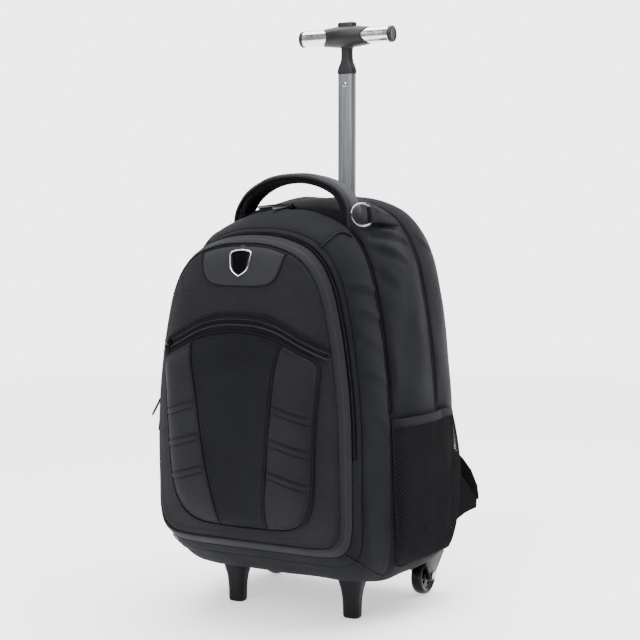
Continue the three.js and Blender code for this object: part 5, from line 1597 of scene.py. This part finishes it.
NECK_ROWS = np.array([
    # up, width, depth
    (0.00, 1.73, 1.10), (0.05, 1.72, 1.09), (0.14, 1.62, 1.05), (0.34, 1.12, 0.94), (0.52, 1.00, 0.90),
    (0.72, 1.12, 0.97), (0.92, 1.90, 1.15),
])


BUTTON_ROWS = [
    # inset, below the top
    (0, 1.5), (0.5, 0.5), (1.6, 0.05), (3.5, -0.3), (5.2, -0.4),
]
HUB_REACH, HUB_BORE, GRIP_DROP, NECK_WIDTH = 33.5, 10.55, 14.0, 15
BUTTON_WIDTH, BUTTON_DEPTH, SLOT_GAP = 26, 12, 0.6
TUBE_ROWS = np.array([
    # radius, out
    (8.8, 20), (10.4, 20), (10.4, 61.4), (10.1, 61.8), (8.8, 61.8),
])
CAP_ROWS = np.array([
    # radius, out
    (9.8, 61.9), (10.5, 62.3), (10.6, 65.2), (10.0, 66.5), (8.6, 67.0), (7.6, 66.7), (4, 66.5),
])


def grip_spindle(centre):
    """The hub's spindle, cut back at its ends where the cross tubes come out."""
    turn = np.linspace(0, 2 * np.pi, 96, endpoint=False)

    def ring(x, radius):
        return np.stack([x, radius * np.sin(turn), radius * np.cos(turn)], 1) + centre

    reach = HUB_REACH - 8.5 * np.abs(np.sin(turn)) ** 2.2
    rings = [ring(-reach, HUB_BORE)]
    for k, share in enumerate(np.sin(np.linspace(-np.pi / 2, np.pi / 2, 60))):
        x = share * reach
        radius = 11.2 + 2.9 * np.cos(np.clip(np.abs(x) / HUB_REACH, 0, 1) * np.pi / 2) ** 1.2
        rings.append(ring(x, radius - 0.5 if k in (0, 59) else radius))
    return loft("grip_hub_spindle", rings + [ring(reach, HUB_BORE)], closed=True, angle=60)


def grip_neck(low, high):
    """The waisted neck between the mast tube and the spindle."""
    rings = []
    for up in np.linspace(0, 0.9, 40):
        width, depth = read_rows(NECK_ROWS, up, 1) * NECK_WIDTH, read_rows(NECK_ROWS, up, 2) * MAST_DEPTH
        rings.append(level(rounded(width, depth, 0.42 * depth, 8), low + up * (high - low), y=MAST_Y))
    return loft("grip_neck", rings)


def add_grip():
    """A hub on the mast with a button let into its top, over a polished cross tube with end caps."""
    low, high = (corner[2] for corner in box_of("grip_hub"))
    centre = (0, MAST_Y, high - GRIP_DROP)
    hub = grip_spindle(centre)
    combine(hub, grip_neck(low, centre[2]), "UNION")
    modify(hub, "REMESH", mode="VOXEL", voxel_size=0.55 * MM)
    modify(hub, "SMOOTH", factor=0.5, iterations=16)
    base, top = (corner[2] for corner in box_of("release_button"))
    flat = rounded(BUTTON_WIDTH + SLOT_GAP, BUTTON_DEPTH + SLOT_GAP, 6.25, 14)
    slot = loft("button_slot", [level(flat, z, y=MAST_Y) for z in (base - 4.3, base + 20)])
    combine(hub, slot, "DIFFERENCE")
    finish_piece(smooth(hub, 40), plastic, "handle", ("grip_hub",))
    rings = []
    for inset, z in [(0, base)] + [(inset, top - below) for inset, below in BUTTON_ROWS]:
        flat = rounded(BUTTON_WIDTH - 2 * inset, BUTTON_DEPTH - 2 * inset, max(0.5, 5.95 - inset), 14)
        rings.append(level(flat, z, y=MAST_Y))
    button = loft("release_button_pressed", rings, angle=50)
    finish_piece(button, plastic, "release_button", ("release_button",))
    for name, side in SIDES:
        tube = spun(f"grip_tube_polished_{name}", TUBE_ROWS * (1, side), centre, closed=True)
        finish_piece(tube, polished, "handle", (f"grip_tube_{name}",))
        cap = spun(f"grip_cap_rounded_{name}", CAP_ROWS * (1, side), centre)
        finish_piece(cap, plastic, "handle", (f"grip_cap_{name}",))


FOOT_ROWS = np.array([
    # up, width, depth
    (0.00, 0.94, 0.94), (0.03, 1.03, 1.04), (0.06, 1.06, 1.08), (0.45, 1.12, 1.12), (0.75, 1.30, 1.30),
    (0.98, 1.58, 1.56), (1.14, 1.66, 1.64),
])


FOOT_X, FOOT_Y, FOOT_WIDTH, FOOT_DEPTH = 82, -143, 20, 16


def add_feet():
    for name, side in SIDES:
        rings = []
        for up in np.concatenate([[0, 0.012, 0.03, 0.06], np.linspace(0.1, 1.14, 40)]):
            width = read_rows(FOOT_ROWS, up, 1) * FOOT_WIDTH
            depth = read_rows(FOOT_ROWS, up, 2) * FOOT_DEPTH
            flat = rounded(width, depth, 0.34 * depth, 10)
            rings.append(level(flat, up * CLEARANCE, side * FOOT_X, FOOT_Y))
        o = loft(f"foot_moulded_{name}", rings)
        finish_piece(o, foot_plastic, stands_for=(f"foot_{name}",))


WHEEL_X, WHEEL_Z, HOLES, HOLE_RADIUS, HOLE_CIRCLE = 110, 25, 5, 3.1, 11.8
TYRE_ROWS = [
    # radius, across
    (19.9, -7.2), (21.5, -7.5), (23.1, -6.6), (24.2, -4.9), (24.8, -2.6), (25.0, 0),
    (24.8, 2.6), (24.2, 4.9), (23.1, 6.6), (21.5, 7.5), (19.9, 7.2), (19.9, 0),
]
HUB_ROWS = [
    # radius, across
    (3.3, -9.7), (6, -9.7), (6.2, -6.5), (7.5, -5.2), (16.5, -4.4), (17.6, -5.6), (19.7, -6.2),
    (19.7, 6.2), (17.6, 5.6), (16.5, 4.4), (7.5, 5.2), (6.2, 6.5), (6, 9.7), (3.3, 9.7),
]


def add_wheels():
    for name, side in SIDES:
        centre = (side * WHEEL_X, 0, WHEEL_Z)
        body = f"wheel_{name}"
        tyre = spun(f"tyre_glossy_{name}", TYRE_ROWS, centre, closed=True, around=96, angle=60)
        finish_piece(tyre, wheel_black, body, (f"tyre_{name}",))
        hub = spun(f"wheel_hub_turned_{name}", HUB_ROWS, centre, closed=True, around=96, angle=30)
        for k in range(HOLES):
            a = 2 * math.pi * k / HOLES
            place = np.array(centre) + (0, HOLE_CIRCLE * math.cos(a), HOLE_CIRCLE * math.sin(a))
            bpy.ops.mesh.primitive_cylinder_add(vertices=24, radius=HOLE_RADIUS * MM, depth=0.03,
                                                rotation=(0, math.pi / 2, 0), location=to_frame(place))
            combine(hub, bpy.context.object, "DIFFERENCE")
        finish_piece(smooth(hub, 30), wheel_black, body, (f"wheel_hub_{name}",))
        moulded(f"wheel_bracket_{name}", grey_plastic, bevel=0.7)
        moulded(f"axle_{name}", dark_chrome, bevel=0.5, angle=40, segments=3)


add_bands()
add_flap_seams()
add_rear()
add_front_panel()
add_pocket()
add_arch_zip()
add_badge_panel()
add_badge()
add_handle()
add_net_pockets()
add_back()
add_ring()
add_pulls()
add_mast()
add_grip()
add_feet()
add_wheels()


# Light, floor and camera

FOCAL_PIXELS, PICTURE_PIXELS, SENSOR_WIDTH = 1438.38, 640, 36
CAMERA_X, CAMERA_Y, CAMERA_Z = 885.05, -1661.64, 480
CAMERA_DIP, CAMERA_TURN = 3.95, 29.18
CAMERA_REACH = 20


def add_camera():
    data = bpy.data.cameras.new("camera")
    o = bpy.data.objects.new("camera", data)
    bpy.context.collection.objects.link(o)
    data.sensor_width = SENSOR_WIDTH
    data.lens = FOCAL_PIXELS / PICTURE_PIXELS * SENSOR_WIDTH
    data.clip_end = CAMERA_REACH
    o.location = to_frame((CAMERA_X, CAMERA_Y, CAMERA_Z))
    o.rotation_euler = (math.radians(90 - CAMERA_DIP), 0, math.radians(CAMERA_TURN))
    bpy.context.scene.camera = o


def area(name, place, target, size, power):
    data = bpy.data.lights.new(name, "AREA")
    data.shape = "RECTANGLE"
    data.size, data.size_y = size
    data.energy = power
    o = bpy.data.objects.new(name, data)
    bpy.context.collection.objects.link(o)
    o.location = place
    o.rotation_euler = (Vector(target) - Vector(place)).to_track_quat("-Z", "Y").to_euler()


def add_studio():
    bpy.ops.mesh.primitive_plane_add(size=12, location=(0, 2, 0))
    floor = rename("floor")
    bpy.ops.object.transform_apply(location=True, rotation=True, scale=True)
    f = Finish("floor_white")
    reach = (f.x * f.x + (f.y - 0.3) * (f.y - 0.3)).power(0.5)
    f.set(Base_Color=(0.9, 0.9, 0.91, 1), Roughness=0.8, Alpha=reach.within(1.1, 3.2, 1.0, 0.0),
          Emission_Color=(1, 1, 1, 1), Emission_Strength=0.8)
    floor.data.materials.append(f.material)
    world = bpy.context.scene.world or bpy.data.worlds.new("studio")
    bpy.context.scene.world = world
    world.use_nodes = True
    tree = world.node_tree
    back = tree.nodes["Background"]
    back.inputs["Color"].default_value = (0.97, 0.98, 1.0, 1)
    way = tree.nodes.new("ShaderNodeSeparateXYZ")
    tree.links.new(tree.nodes.new("ShaderNodeTexCoord").outputs["Generated"], way.inputs[0])
    behind = Socket(tree, way.outputs["Y"]) * 0.873 - Socket(tree, way.outputs["X"]) * 0.4875
    low_sky = Socket(tree, way.outputs["Z"]).within(0.15, 0.45, 1.0, 0.12)
    feed(tree, back.inputs["Strength"], low_sky * behind.within(0.3, 0.85, 0.3, 4.2))
    area("overhead", (0.3, 0.6, 3.4), (0.0, 0.3, 0.0), (5.0, 5.0), 600)
    area("key", (-0.2, -2.4, 2.2), (0, 0, 0.3), (1.5, 1.5), 100)


add_camera()
add_studio()
